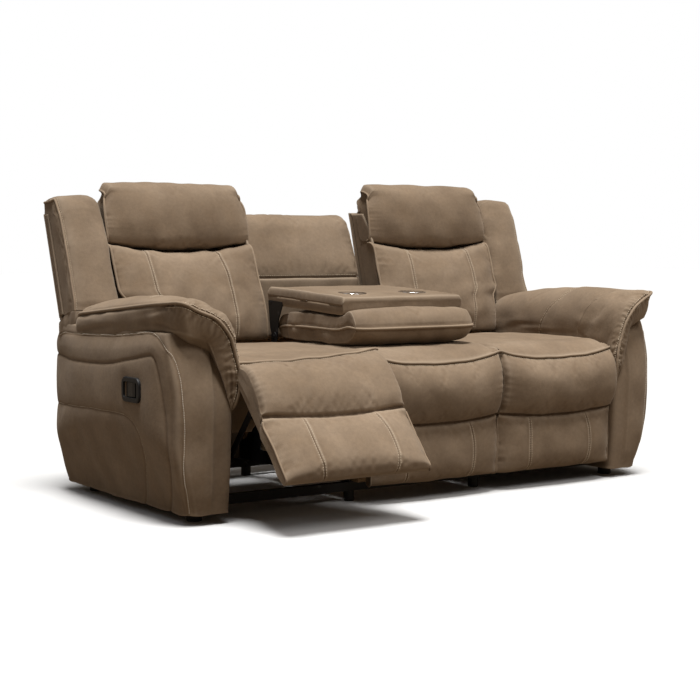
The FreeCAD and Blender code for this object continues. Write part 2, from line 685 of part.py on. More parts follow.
def hinge_arm(sx):
    a, b = sorted((sx * 251.8, sx * 256.0))
    q0 = tilted(100, TOP - TRAY_T - 14)
    q1 = tilted(100, TOP - TRAY_T - 1)
    q2 = tilted(195, TOP - TRAY_T - 1)
    s = prism_yz([(136, 516), (164, 516), (184, 560), q2, q1, q0, (128, 590)], a, b,
                 [13, 13, 20, 4, 4, 4, 30])
    w0, w1 = sorted((sx * 240.2, sx * 256.0))
    tab = box(w0, w1, 100, 185, TOP - TRAY_T - 14, TOP - TRAY_T - 0.4)
    s = s.fuse(tilt(tab))
    p0, p1 = sorted((sx * 251.8, sx * 263.6))
    s = s.fuse(cyl_x(CONSOLE_PIVOT[0], CONSOLE_PIVOT[1], 6, p0, p1))
    # screw head on the outer face
    h0, h1 = sorted((sx * 256.0, sx * 258.0))
    sc = tilted(178, TOP - TRAY_T - 7)
    s = s.fuse(cyl_x(sc[0], sc[1], 5, h0, h1))
    return s.removeSplitter()


add("console_hinge_arms", Part.makeCompound([hinge_arm(-1), hinge_arm(1)]))

# -------------------------------------------------------------------- write
lo = [1e9] * 3
hi = [-1e9] * 3
for name, s in parts.items():
    s.translate(V(0, Y_SHIFT, 0))
    bb = s.BoundBox
    for i, (a, b) in enumerate(((bb.XMin, bb.XMax), (bb.YMin, bb.YMax), (bb.ZMin, bb.ZMax))):
        lo[i] = min(lo[i], a)
        hi[i] = max(hi[i], b)
    ok = s.isValid() and all(x.Volume > 0 for x in s.Solids) and len(s.Solids) > 0
    if not ok:
        print("CHECK", name, "valid", s.isValid(), "solids", len(s.Solids), [x.Volume for x in s.Solids])
    s.exportStep("parts/" + name + ".step")
print(len(parts), "nodes; box", [round(v, 1) for v in lo], [round(v, 1) for v in hi])
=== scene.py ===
import bpy, math
import numpy as np
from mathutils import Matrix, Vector
from mathutils.bvhtree import BVHTree


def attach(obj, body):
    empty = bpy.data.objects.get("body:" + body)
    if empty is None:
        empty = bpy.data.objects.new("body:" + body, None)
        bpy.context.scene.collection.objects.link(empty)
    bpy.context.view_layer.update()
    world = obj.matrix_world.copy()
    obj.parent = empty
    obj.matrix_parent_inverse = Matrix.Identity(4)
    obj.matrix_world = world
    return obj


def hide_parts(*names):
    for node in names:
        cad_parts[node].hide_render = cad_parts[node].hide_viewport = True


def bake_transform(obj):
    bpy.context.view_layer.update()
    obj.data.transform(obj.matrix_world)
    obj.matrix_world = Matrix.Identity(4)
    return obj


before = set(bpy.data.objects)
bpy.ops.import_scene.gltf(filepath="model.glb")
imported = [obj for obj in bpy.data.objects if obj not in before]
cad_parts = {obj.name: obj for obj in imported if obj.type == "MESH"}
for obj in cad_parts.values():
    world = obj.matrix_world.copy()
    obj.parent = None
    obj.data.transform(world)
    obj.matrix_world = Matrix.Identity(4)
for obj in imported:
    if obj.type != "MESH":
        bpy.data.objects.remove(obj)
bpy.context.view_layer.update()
SCN = bpy.context.scene
SH = 0.1283                      # the working frame is shifted by this along y

# ------------------------------------------------------------------ camera
cam = bpy.data.cameras.new("camera")
cam_ob = bpy.data.objects.new("camera", cam)
SCN.collection.objects.link(cam_ob)
cam_ob.location = (-3.0958, -4.4696 + SH, 0.8494)
cam_ob.rotation_euler = (math.radians(90 - 2.694), 0, math.radians(-34.298))
cam.sensor_width = 36
cam.lens = 77.06
cam.shift_x = 0.0057
cam.shift_y = -0.0454
cam.dof.use_dof = False
SCN.camera = cam_ob


# ------------------------------------------------------------- small maths
def dense(P, closed=False, m=14):
    """Catmull-Rom through the points P."""
    P = np.asarray(P, float)
    Q = np.vstack([P[-1:], P, P[:2]]) if closed else np.vstack([2 * P[0] - P[1], P, 2 * P[-1] - P[-2]])
    t = np.linspace(0, 1, m, endpoint=False)[:, None]
    out = []
    for i in range(len(Q) - 3):
        a, b, c, d = Q[i:i + 4]
        out.append(.5 * (2 * b + (c - a) * t + (2 * a - 5 * b + 4 * c - d) * t ** 2 + (3 * b - a - 3 * c + d) * t ** 3))
    if not closed:
        out.append(P[-1:])
    return np.vstack(out)


def even(D, n):
    """n points evenly spaced along the polyline D."""
    L = np.r_[0, np.cumsum(np.linalg.norm(np.diff(D, axis=0), axis=1))]
    s = np.linspace(0, L[-1], n)
    return np.stack([np.interp(s, L, D[:, k]) for k in range(D.shape[1])], 1)


def path(P, n):
    return even(dense(P), n)


def chain(*segs):
    """Joined paths, each (points, n): n steps, corners kept between them."""
    out = [path(P, n + 1)[:-1] for P, n in segs]
    return np.vstack(out + [np.asarray(segs[-1][0][-1:], float)])


def sm(t, a=0., b=1.):
    t = np.clip((t - a) / (b - a), 0, 1)
    return t * t * (3 - 2 * t)


def waves(P, wl, seed, n=10):
    """Smooth undulation of about unit size and wavelength wl."""
    r = np.random.RandomState(abs(int(seed)))
    D = r.normal(size=(n, 3))
    D /= np.linalg.norm(D, axis=1)[:, None]
    k = 2 * np.pi / wl * r.uniform(.6, 1.5, n)
    return np.sin(P @ (D * k[:, None]).T + r.uniform(0, 6.28, n)).sum(-1) * math.sqrt(2. / n)


def puckers(t, seed, mean=.013):
    """One-dimensional row of uneven gathers along t (metres), 0..1."""
    r = np.random.RandomState(abs(int(seed)))
    out = np.zeros_like(t)
    x = t.min() - .03
    while x < t.max() + .03:
        w = mean * r.uniform(.35, .8)
        h = r.uniform(.35, 1.)
        out = np.maximum(out, h * np.exp(-((t - x) / (w * .62)) ** 2))
        x += mean * r.uniform(.7, 1.7)
    return out


def unit(v):
    return v / np.maximum(np.linalg.norm(v, axis=-1, keepdims=True), 1e-12)


def bicubic(P, U, V):
    """P (nu, nv, 3), closed in v, sampled at rows U and columns V (same shape)."""
    nu, nv = P.shape[:2]
    iu = np.clip(np.floor(U).astype(int), 0, nu - 2)
    iv = np.floor(V).astype(int)
    fu, fv = U - iu, V - iv

    def w(t):
        return [(-t + 2 * t ** 2 - t ** 3) / 2, (2 - 5 * t ** 2 + 3 * t ** 3) / 2,
                (t + 4 * t ** 2 - 3 * t ** 3) / 2, (-t ** 2 + t ** 3) / 2]
    wu, wv = w(fu), w(fv)
    out = 0
    for a in range(4):
        ia = np.clip(iu + a - 1, 0, nu - 1)
        for b in range(4):
            out = out + (wu[a] * wv[b])[..., None] * P[ia, (iv + b - 1) % nv]
    return out


def faces_of(nu, nv):
    i, j = np.meshgrid(np.arange(nu - 1), np.arange(nv), indexing="ij")
    k = (j + 1) % nv
    return np.stack([i * nv + j, (i + 1) * nv + j, (i + 1) * nv + k, i * nv + k], -1).reshape(-1, 4)


def weld(P):
    """Merged vertices, faces and the index of each grid point."""
    nu, nv = P.shape[:2]
    key = np.round(P.reshape(-1, 3), 5)
    _, first, inv = np.unique(key, axis=0, return_index=True, return_inverse=True)
    inv = inv.reshape(-1)
    V = P.reshape(-1, 3)[first]
    F = []
    for f in inv[faces_of(nu, nv)]:
        g = [f[0]]
        for x in f[1:]:
            if x != g[-1]:
                g.append(x)
        if g[0] == g[-1]:
            g.pop()
        if len(set(g)) == len(g) and len(g) > 2:
            F.append([int(x) for x in g])
    T = np.array([(f[0], f[k], f[k + 1]) for f in F for k in range(1, len(f) - 1)])
    C = V - V.mean(0)
    if np.einsum("ij,ij->i", C[T[:, 0]], np.cross(C[T[:, 1]], C[T[:, 2]])).sum() < 0:
        F = [f[::-1] for f in F]
    return V, F, inv


# ----------------------------------------------------------- cloth, batched
JOBS = []


def cloth(P, pin, pressure=4., shrink=-.012, cap=.022, stiff=1., seed=0):
    """Queues the padded cover P (nu, nv, 3) for the simulation, pin (nu, nv) 0..1."""
    job = dict(P=P, pin=pin, pressure=pressure, shrink=shrink, cap=cap, stiff=stiff, out=P)
    JOBS.append(job)
    return job


def run_cloth():
    coll = bpy.data.collections.new("cloth_run")
    SCN.collection.children.link(coll)
    for n, j in enumerate(JOBS):
        V, F, inv = weld(j["P"])
        me = bpy.data.meshes.new("c%d" % n)
        me.from_pydata(V.tolist(), [], F)
        o = bpy.data.objects.new("c%d" % n, me)
        coll.objects.link(o)
        g = o.vertex_groups.new(name="pin")
        w = np.zeros(len(V))
        np.maximum.at(w, inv, j["pin"].reshape(-1))
        for lvl in np.unique(np.round(w, 2)):
            if lvl > 0:
                g.add(np.nonzero(np.round(w, 2) == lvl)[0].tolist(), float(lvl), "REPLACE")
        m = o.modifiers.new("cloth", "CLOTH")
        s = m.settings
        s.quality = 5
        s.mass = .25
        s.air_damping = 3
        s.tension_stiffness = 18 * j["stiff"]
        s.compression_stiffness = 10 * j["stiff"]
        s.shear_stiffness = 6 * j["stiff"]
        s.bending_stiffness = .5 * j["stiff"]
        s.use_pressure = True
        s.uniform_pressure_force = j["pressure"]
        s.vertex_group_mass = "pin"
        s.pin_stiffness = 1.
        s.shrink_min = j["shrink"]
        s.effector_weights.gravity = 0
        m.collision_settings.use_collision = False
        m.collision_settings.use_self_collision = False
        m.point_cache.frame_start, m.point_cache.frame_end = 1, 20
        j.update(ob=o, inv=inv, V=V)
    SCN.frame_start, SCN.frame_end = 1, 20
    for f in range(1, 21):
        SCN.frame_set(f)
    dg = bpy.context.evaluated_depsgraph_get()
    for j in JOBS:
        me = j["ob"].evaluated_get(dg).data
        co = np.zeros(len(me.vertices) * 3)
        me.vertices.foreach_get("co", co)
        d = co.reshape(-1, 3) - j["V"]
        n = np.linalg.norm(d, axis=1)[:, None]
        d = d * (j["cap"] * np.tanh(n / j["cap"]) / np.maximum(n, 1e-9))
        j["out"] = (j["V"] + d)[j["inv"]].reshape(j["P"].shape)
        print("cloth", j["P"].shape[:2], "max move mm", round(float(n.max()) * 1000, 1))
    for j in JOBS:
        bpy.data.objects.remove(j.pop("ob"))
    bpy.data.collections.remove(coll)
    SCN.frame_set(1)


# -------------------------------------------------------------- grid pieces
class Pad:
    """A padded form: rows across it, columns round its section.  Ends collapse on the middle line."""

    def __init__(s, F, B, x0, x1, nx, ncap=5, side=.008, inset=0., along="x"):
        s.nf = len(F) - 1
        R = np.vstack([F, B[::-1][1:-1]])
        nv = len(R)
        M = (R + R[(-np.arange(nv)) % nv]) / 2
        th = np.linspace(90, 0, ncap + 1)[:-1]
        vs = sorted(list(np.linspace(-1, 1, nx)) + [-.986, -.972, .972, .986])
        rows = [(-1., -t) for t in th] + [(v, 0.) for v in vs] + [(1., t) for t in th[::-1]]
        s.S = np.array([r[0] for r in rows])
        s.T = np.array([r[1] for r in rows])            # cap angle, signed
        c = np.cos(np.radians(s.T))
        k = np.sin(np.radians(s.T))
        xc, s.hw = (x0 + x1) / 2, (x1 - x0) / 2
        s.sig = s.S + s.T / 90 * .15                    # row coordinate
        X = xc + s.hw * s.S + side * k - np.sign(s.T) * inset * sm(np.abs(s.T) / 90, 0, .35)
        s.P = np.zeros((len(rows), nv, 3))
        s.P[..., 0] = X[:, None]
        s.P[..., 1:] = M + (R - M) * c[:, None, None]
        i = np.arange(nv)
        s.w = np.where(i <= s.nf, i / s.nf, 2 - (nv - i) / s.nf)
        s.w[s.nf + 1:] = 1 + (i[s.nf + 1:] - s.nf) / s.nf
        s.front = (np.sin(np.clip(s.w, 0, 1) * np.pi) ** .6)[None, :] * (s.w <= 1)[None, :]
        s.nv = nv
        s.pin = np.zeros(s.P.shape[:2])
        s.pin[:, s.w > 1.02] = 1
        s.pin[np.abs(s.T) > 1] = .6
        s.pin[np.abs(s.T) > 80] = 1

    def edge_pin(s):
        s.pin[np.abs(np.abs(s.S) - 1) < 1e-6] = 1

    def warp(s, fn):
        s.P = fn(s.P, s.S[:, None], s.w[None, :])
        return s

    def sim(s, **k):
        s.job = cloth(s.P, s.pin, **k)
        return s

    def final(s, dx=.005, df=.0048, db=.012, seams=(), flip=False, cap_rows=8, cols=None, extra_cols=()):
        """Fine grid.  seams: (sigma, fn(w) -> shift in sigma, w0, w1)."""
        P = s.job["out"] if hasattr(s, "job") else s.P
        base = np.unique(np.round(np.r_[np.linspace(-1, 1, int(2 * s.hw / dx) + 1), 1 - np.array([.004, .008, .012]), np.array([.004, .008, .012]) - 1], 6))
        ends = np.linspace(0, .15, cap_rows + 1)[1:]
        off = np.array([0, 1.1, 2.3, 3.4, 4.6, 5.8, 7.5, 10, 13]) / 1000 / s.hw
        off = np.unique(np.r_[off, -off])
        rows = [b for b in base if all(abs(b - q[0]) > .0145 / s.hw for q in seams)]
        for q in seams:
            rows += list(q[0] + off)
        rows = np.array(sorted(rows))
        s.r = np.r_[-1 - ends[::-1], rows, 1 + ends]
        Lf = np.linalg.norm(np.diff(P[len(P) // 2, :s.nf + 1], axis=0), axis=1).sum()
        nf = max(12, int(Lf / df))
        nb = max(8, int(Lf / db))
        cf = np.linspace(0, s.nf, nf + 1)
        if len(extra_cols):
            cf = np.array([c for c in cf if all(abs(c - e) > .9 * s.nf / nf * 1.6 for e in extra_cols)])
            st = s.nf / nf
            cf = np.array(sorted(list(cf) + [e + q * st for e in extra_cols for q in (-1.2, -.75, -.4, -.15, 0, .15, .4, .75, 1.2)]))
            cf = np.unique(np.clip(cf, 0, s.nf))
        cb = np.linspace(s.nf, s.nv, nb + 1)[1:-1]
        s.c = np.r_[cf, cb]
        s.nfc = len(cf)
        sig = np.repeat(s.r[:, None], len(s.c), 1)
        W = np.repeat(np.interp(s.c, np.arange(s.nv + 1), np.r_[s.w, 2.])[None, :], len(s.r), 0)
        for q in seams:
            if q[1] is not None:
                sig = sig + q[1](W) * np.exp(-((s.r[:, None] - q[0]) / .16) ** 2) * (np.abs(s.r[:, None]) <= 1)
        U = np.interp(sig, s.sig, np.arange(len(s.sig)))
        G = bicubic(P, U, np.repeat(s.c[None, :], len(s.r), 0))
        s.W, s.R = W, np.repeat(s.r[:, None], len(s.c), 1)
        s.seams = seams
        s.G = G
        s.N = normals(G)
        return s

    def seam_disp(s, groove=.0030, valley=.0030, width=.018):
        d = np.zeros(s.G.shape[:2])
        for q in s.seams:
            x = (s.R - q[0]) * s.hw
            env = sm(s.W, q[2] - .02, q[2] + .04) * sm(-s.W, -q[3] - .02, -q[3] + .04) if len(q) > 3 else 1.
            d -= env * (groove * np.exp(-(x / .0020) ** 2) + valley * np.exp(-(x / width) ** 2))
            d += env * .0012 * np.exp(-((np.abs(x) - .0075) / .004) ** 2)
        return d

    def push(s, d):
        s.G = s.G + s.N * d[..., None]
        s.N = normals(s.G)
        return s

    def row(s, sigma, off=0.):
        """Index of the fine row nearest sigma + off metres."""
        return int(np.argmin(np.abs(s.r - (sigma + off / s.hw))))

    def col(s, c):
        return int(np.argmin(np.abs(s.c - c)))

    def mesh(s, name, body, mat, replaces=(), pad=.6, move=None, tone_k=1.):
        G = s.G if move is None else move(s.G)
        s.out = G
        s.outN = normals(G)
        o = grid_object(name, G, mat, tone_k)
        if body:
            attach(o, body)
        if replaces:
            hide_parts(*replaces)
        s.ob = o
        return s


def normals(G):
    du = np.gradient(G, axis=0)
    dv = (np.roll(G, -1, 1) - np.roll(G, 1, 1)) / 2
    n = np.cross(du, dv)
    bad = np.linalg.norm(n, axis=-1) < 1e-12
    if ((G - G.mean((0, 1))) * n).sum() < 0:
        n = -n
    n = unit(n)
    n[bad] = 0
    return n


def wear_and_crease_shade_of(G, N):
    """Raised edges rub lighter (wear) and folds go darker as painted shade: from the surface's own curvature."""
    a = (np.roll(G, 2, 1) + np.roll(G, -2, 1)) / 2 - G
    lv = np.linalg.norm(np.roll(G, -2, 1) - G, axis=-1)
    Gu = np.pad(G, ((2, 2), (0, 0), (0, 0)), mode="edge")
    b = (Gu[4:] + Gu[:-4]) / 2 - G
    lu = np.linalg.norm(Gu[4:] - G, axis=-1)
    k = -((a * N).sum(-1) / np.maximum(lv, .002) ** 2 + (b * N).sum(-1) / np.maximum(lu, .002) ** 2)
    # below zero (concave folds) this becomes painted shade in the colour; above zero (raised edges) it is rub wear
    k = np.clip(k * .016, -1, 1)
    for _ in range(2):
        kp = np.pad(k, ((1, 1), (0, 0)), mode="edge")
        k = (k * 2 + np.roll(k, 1, 1) + np.roll(k, -1, 1) + kp[2:] + kp[:-2]) / 6
    return k


def add_object(name, V, F, mat, wear_and_shade=None, smooth=True):
    V = np.asarray(V, float).copy()
    V[:, 1] += SH
    me = bpy.data.meshes.new(name)
    me.from_pydata(V.tolist(), [], F if isinstance(F, list) else F.tolist())
    me.validate()
    if smooth:
        me.polygons.foreach_set("use_smooth", np.ones(len(me.polygons), bool))
    if wear_and_shade is not None:
        a = me.attributes.new("wear_and_shade", "FLOAT", "POINT")
        a.data.foreach_set("value", np.asarray(wear_and_shade, np.float32))
    me.materials.append(mat)
    me.update()
    o = bpy.data.objects.new(name, me)
    SCN.collection.objects.link(o)
    return o


def grid_object(name, G, mat, tone_k=1.):
    N = normals(G)
    t = wear_and_crease_shade_of(G, N) * tone_k
    V, F, inv = weld(G)
    tv = np.zeros(len(V))
    tv[inv] = t.reshape(-1)
    o = add_object(name, V, F, mat, tv)
    fix_normals(o)
    return o


def fix_normals(o):
    import bmesh
    bm = bmesh.new()
    bm.from_mesh(o.data)
    bmesh.ops.recalc_face_normals(bm, faces=bm.faces)
    bm.to_mesh(o.data)
    bm.free()


def mirror_x(G):
    return G * np.array([-1., 1, 1])


def turned(G, yz, deg):
    """Turn about the x axis; positive leans back or opens."""
    a = math.radians(deg)
    y, z = G[..., 1] - yz[0], G[..., 2] - yz[1]
    out = G.copy()
    out[..., 1] = yz[0] + y * math.cos(a) + z * math.sin(a)
    out[..., 2] = yz[1] + z * math.cos(a) - y * math.sin(a)
    return out


BACK_PIVOT = (.220, .400)
FOOT_AXIS = (-.457, .527)


def left_back(G):
    return turned(mirror_x(G), BACK_PIVOT, 5.)


def left_foot(G):
    return turned(mirror_x(G), FOOT_AXIS, 43.5)


# --------------------------------------------------------- piping, stitches
class Parts:
    """Collects small tubes and stitches into one object."""

    def __init__(s):
        s.V, s.F, s.T, s.n = [], [], [], 0

    def add(s, V, F, wear_and_shade=0.):
        s.V.append(V)
        s.F += [[int(i) + s.n for i in f] for f in F]
        s.T.append(np.zeros(len(V)) + wear_and_shade)
        s.n += len(V)

    def tube(s, P, N, r=.0042, sides=9, step=.005, lift=.0015, seed=1, flat=1., closed=False, wear_and_shade=.35, vary=.05):
        """Round bead along P, lifted along the surface normals N, with closed round ends."""
        D = np.hstack([P, N])
        L = np.linalg.norm(np.diff(P, axis=0), axis=1).sum()
        D = even(D, max(4, int(L / step)))
        P, N = D[:, :3], unit(D[:, 3:])
        k = np.array([.25, .5, .25])
        for _ in range(6):
            Q = np.pad(P, ((1, 1), (0, 0)), mode="edge")
            P = np.r_[P[:1], (Q[:-2] * .25 + Q[1:-1] * .5 + Q[2:] * .25)[1:-1], P[-1:]]
        t = unit(np.gradient(P, axis=0))
        N = unit(N - (N * t).sum(-1, keepdims=True) * t)
        b = np.cross(t, N)
        R = np.random.RandomState(abs(int(seed)))
        rr = r * (1 + vary * np.convolve(R.normal(size=len(P) + 4), np.ones(5) / 5, "valid"))
        P = P + N * lift
        a = np.linspace(0, 2 * np.pi, sides, endpoint=False)
        ring = (np.cos(a)[None, :, None] * b[:, None] * flat + np.sin(a)[None, :, None] * N[:, None])
        rows = [P[0] + ring[0] * rr[0] * q - t[0] * rr[0] * math.sqrt(1 - q * q) for q in (.35, .8)]
        V = np.concatenate([np.array(rows), P[:, None] + ring * rr[:, None, None],
                            np.array([P[-1] + ring[-1] * rr[-1] * q + t[-1] * rr[-1] * math.sqrt(1 - q * q) for q in (.8, .35)])])
        n = len(V)
        i, j = np.meshgrid(np.arange(n - 1), np.arange(sides), indexing="ij")
        F = np.stack([i * sides + j, i * sides + (j + 1) % sides, (i + 1) * sides + (j + 1) % sides, (i + 1) * sides + j], -1).reshape(-1, 4).tolist()
        F += [list(range(sides))[::-1], [(n - 1) * sides + q for q in range(sides)]]
        s.add(V.reshape(-1, 3), F, wear_and_shade)
        return s

    def stitches(s, P, N, r=.00085, length=.0058, pitch=.0082, lift=.0002, seed=1, side=0., jitter=.1):
        """A row of thread stitches that dip into the cloth at both ends."""
        D = np.hstack([P, N])
        Lc = np.r_[0, np.cumsum(np.linalg.norm(np.diff(P, axis=0), axis=1))]
        if Lc[-1] < pitch:
            return s
        R = np.random.RandomState(abs(int(seed)))
        c = np.arange(pitch / 2, Lc[-1] - length / 2, pitch)
        c = c + R.uniform(-jitter, jitter, len(c)) * pitch * .5
        q = np.array([-.5, -.34, 0, .34, .5])
        S = c[:, None] + q[None] * length
        E = np.stack([np.interp(S, Lc, D[:, k]) for k in range(6)], -1)
        X, M = E[..., :3], unit(E[..., 3:])
        t = unit(np.gradient(X, axis=1))
        b = np.cross(t, M)
        h = np.array([-1.0, .25, .6, .25, -1.0]) * r + lift
        rad = np.array([.55, .95, 1., .95, .55]) * r
        X = X + M * h[None, :, None] + b * side
        sides = 6
        a = np.linspace(0, 2 * np.pi, sides, endpoint=False)
        V = X[:, :, None] + (np.cos(a)[:, None] * b[:, :, None] + np.sin(a)[:, None] * M[:, :, None]) * rad[None, :, None, None]
        m = len(c)
        i, j = np.meshgrid(np.arange(4), np.arange(sides), indexing="ij")
        f = np.stack([i * sides + j, i * sides + (j + 1) % sides, (i + 1) * sides + (j + 1) % sides, (i + 1) * sides + j], -1).reshape(-1, 4)
        F = (f[None] + (np.arange(m) * 30)[:, None, None]).reshape(-1, 4).tolist()
        for k in range(m):
            F += [[k * 30 + x for x in range(6)][::-1], [k * 30 + 24 + x for x in range(6)]]
        s.add(V.reshape(-1, 3), F, 0.)
        return s

    def object(s, name, body, mat, move=None):
        V = np.vstack(s.V)
        if move is not None:
            V = move(V)
        o = add_object(name, V, s.F, mat, np.concatenate(s.T))
        fix_normals(o)
        if body:
            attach(o, body)
        return o


def bvh_of(G):
    V, F, _ = weld(G)
    return BVHTree.FromPolygons([Vector(v) for v in V], F), V.mean(0)


def snap(bvh, pts, outward):
    """Nearest points on a surface and their normals, turned to face outward (a vector each)."""
    P, N = [], []
    for p, o in zip(pts, outward):
        loc, nor, _, _ = bvh[0].find_nearest(Vector(p))
        n = np.array(nor)
        if n @ o < 0:
            n = -n
        P.append(np.array(loc))
        N.append(n)
    return np.array(P), np.array(N)


# --------------------------------------------------------------- materials
def nodes_of(name):
    m = bpy.data.materials.new(name)
    m.use_nodes = True
    nt = m.node_tree
    return m, nt, nt.nodes["Principled BSDF"]


def ramp(nt, fac, stops):
    r = nt.nodes.new("ShaderNodeValToRGB")
    r.color_ramp.elements[0].position, r.color_ramp.elements[0].color = stops[0][0], (*stops[0][1], 1)
    r.color_ramp.elements[1].position, r.color_ramp.elements[1].color = stops[-1][0], (*stops[-1][1], 1)
    for p, c in stops[1:-1]:
        e = r.color_ramp.elements.new(p)
        e.color = (*c, 1)
    nt.links.new(fac, r.inputs[0])
    return r.outputs[0]


def noise(nt, vec, scale, detail=3., rough=.55, dist=0.):
    n = nt.nodes.new("ShaderNodeTexNoise")
    n.inputs["Scale"].default_value = scale
    n.inputs["Detail"].default_value = detail
    n.inputs["Roughness"].default_value = rough
    n.inputs["Distortion"].default_value = dist
    nt.links.new(vec, n.inputs["Vector"])
    return n.outputs["Fac"]


def mix(nt, a, b, fac, mode="MIX"):
    n = nt.nodes.new("ShaderNodeMix")
    n.data_type = "RGBA"
    n.blend_type = mode
    for k, v in ((0, fac), (6, a), (7, b)):
        if hasattr(v, "is_linked"):
            nt.links.new(v, n.inputs[k])
        else:
            n.inputs[k].default_value = v if k == 0 else (*v, 1)
    return n.outputs[2]


def math_n(nt, op, a, b=None, c=None):
    n = nt.nodes.new("ShaderNodeMath")
    n.operation = op
    for k, v in enumerate((a, b, c)):
        if v is None:
            continue
        if hasattr(v, "is_linked"):
            nt.links.new(v, n.inputs[k])
        else:
            n.inputs[k].default_value = v
    return n.outputs[0]


def coords(nt, offset=(0, 0, 0), scale=(1, 1, 1)):
    t = nt.nodes.new("ShaderNodeTexCoord")
    mp = nt.nodes.new("ShaderNodeMapping")
    mp.inputs["Location"].default_value = offset
    mp.inputs["Scale"].default_value = scale
    nt.links.new(t.outputs["Object"], mp.inputs["Vector"])
    return mp.outputs[0]


def bump(nt, height, strength, distance, normal=None):
    b = nt.nodes.new("ShaderNodeBump")
    b.inputs["Strength"].default_value = strength
    b.inputs["Distance"].default_value = distance
    nt.links.new(height, b.inputs["Height"])
    if normal is not None:
        nt.links.new(normal, b.inputs["Normal"])
    return b.outputs[0]


def nubuck(name, seed=0, tint=(1, 1, 1), light=1.):
    """Brushed microfibre: cloudy nap, fine mottling, rubbed edges (wear) and painted shade darkening the folds."""
    m, nt, bs = nodes_of(name)
    off = (seed * 1.37, seed * .71 + 2, seed * 2.11)
    v = coords(nt, off)

    def c(r, g, b):
        return (r * .835 * tint[0] * light, g * .855 * tint[1] * light, b * .865 * tint[2] * light)
    big = noise(nt, v, 3.6, 4, .55, .15)
    col = ramp(nt, big, [(.30, c(.186, .127, .081)), (.44, c(.220, .154, .100)), (.56, c(.246, .175, .116)), (.70, c(.284, .206, .140))])
    mid = noise(nt, v, 15., 5, .60, .2)
    col = mix(nt, col, ramp(nt, mid, [(.34, (.80, .79, .80)), (.5, (1., 1., 1.)), (.66, (1.17, 1.15, 1.12))]), .34, "MULTIPLY")
    small = noise(nt, v, 85., 4, .6)
    col = mix(nt, col, ramp(nt, small, [(.32, (.88, .88, .88)), (.68, (1.10, 1.10, 1.10))]), .6, "MULTIPLY")
    fine = noise(nt, v, 620., 3, .7)
    col = mix(nt, col, ramp(nt, fine, [(.3, (.82, .82, .82)), (.7, (1.14, 1.14, 1.14))]), .55, "MULTIPLY")
    at = nt.nodes.new("ShaderNodeAttribute")
    at.attribute_name = "wear_and_shade"
    up = math_n(nt, "MAXIMUM", at.outputs["Fac"], 0.)
    crease_shade = math_n(nt, "MULTIPLY", math_n(nt, "MINIMUM", at.outputs["Fac"], 0.), -1.)
    # attribute above zero lightens rubbed edges (wear); below zero mixes in near-black brown: painted shade in folds
    # and creases
    col = mix(nt, col, c(.40, .315, .235), math_n(nt, "MULTIPLY", up, .55))
    col = mix(nt, col, c(.080, .048, .028), math_n(nt, "MULTIPLY", crease_shade, .75))
    nt.links.new(col, bs.inputs["Base Color"])
    rg = nt.nodes.new("ShaderNodeMapRange")
    rg.inputs["To Min"].default_value = .78
    rg.inputs["To Max"].default_value = .97
    nt.links.new(mid, rg.inputs["Value"])
    nt.links.new(rg.outputs[0], bs.inputs["Roughness"])
    bs.inputs["Specular IOR Level"].default_value = .22
    bs.inputs["Sheen Weight"].default_value = .22
    bs.inputs["Sheen Roughness"].default_value = .42
    bs.inputs["Sheen Tint"].default_value = (.80, .70, .60, 1)
    n = bump(nt, fine, .35, .0007)
    n = bump(nt, small, .30, .0016, n)
    n = bump(nt, mid, .10, .004, n)
    nt.links.new(n, bs.inputs["Normal"])
    return m


def thread(name, col):
    m, nt, bs = nodes_of(name)
    v = coords(nt)
    n = noise(nt, v, 900., 2)
    c = ramp(nt, n, [(.3, tuple(x * .72 for x in col)), (.7, tuple(min(1, x * 1.12) for x in col))])
    nt.links.new(c, bs.inputs["Base Color"])
    bs.inputs["Roughness"].default_value = .62
    bs.inputs["Sheen Weight"].default_value = .2
    w = nt.nodes.new("ShaderNodeTexWave")
    w.inputs["Scale"].default_value = 420
    w.inputs["Distortion"].default_value = 1.5
    nt.links.new(v, w.inputs["Vector"])
    nt.links.new(bump(nt, w.outputs["Fac"], .5, .0004), bs.inputs["Normal"])
    return m


def plastic(name, col, rough=.42, scale=900., strength=.25):
    m, nt, bs = nodes_of(name)
    v = coords(nt)
    n = noise(nt, v, scale, 3, .6)
    big = noise(nt, v, 14., 4, .6)
    c = ramp(nt, big, [(.3, tuple(x * .8 for x in col)), (.7, tuple(x * 1.3 for x in col))])
    nt.links.new(c, bs.inputs["Base Color"])
    rg = nt.nodes.new("ShaderNodeMapRange")
    rg.inputs["To Min"].default_value = rough - .07
    rg.inputs["To Max"].default_value = rough + .12
    nt.links.new(big, rg.inputs["Value"])
    nt.links.new(rg.outputs[0], bs.inputs["Roughness"])
    nt.links.new(bump(nt, n, strength, .0004), bs.inputs["Normal"])
    return m


def metal(name, col, rough=.3, worn=None, metallic=1., streak=(1, 1, 1)):
    m, nt, bs = nodes_of(name)
    v = coords(nt, scale=streak)
    n = noise(nt, v, 60., 6, .65)
    f = noise(nt, v, 700., 3, .6)
    c = ramp(nt, n, [(.35, tuple(x * .75 for x in col)), (.65, tuple(x * 1.1 for x in col))])
    if worn:
        e = ramp(nt, noise(nt, v, 26., 8, .72), [(.60, (0, 0, 0)), (.72, (1, 1, 1))])
        c = mix(nt, c, worn, e)
    nt.links.new(c, bs.inputs["Base Color"])
    bs.inputs["Metallic"].default_value = metallic
    rg = nt.nodes.new("ShaderNodeMapRange")
    rg.inputs["To Min"].default_value = rough * .8
    rg.inputs["To Max"].default_value = min(1, rough * 1.5)
    nt.links.new(n, rg.inputs["Value"])
    nt.links.new(rg.outputs[0], bs.inputs["Roughness"])
    nt.links.new(bump(nt, f, .15, .0003), bs.inputs["Normal"])
    return m


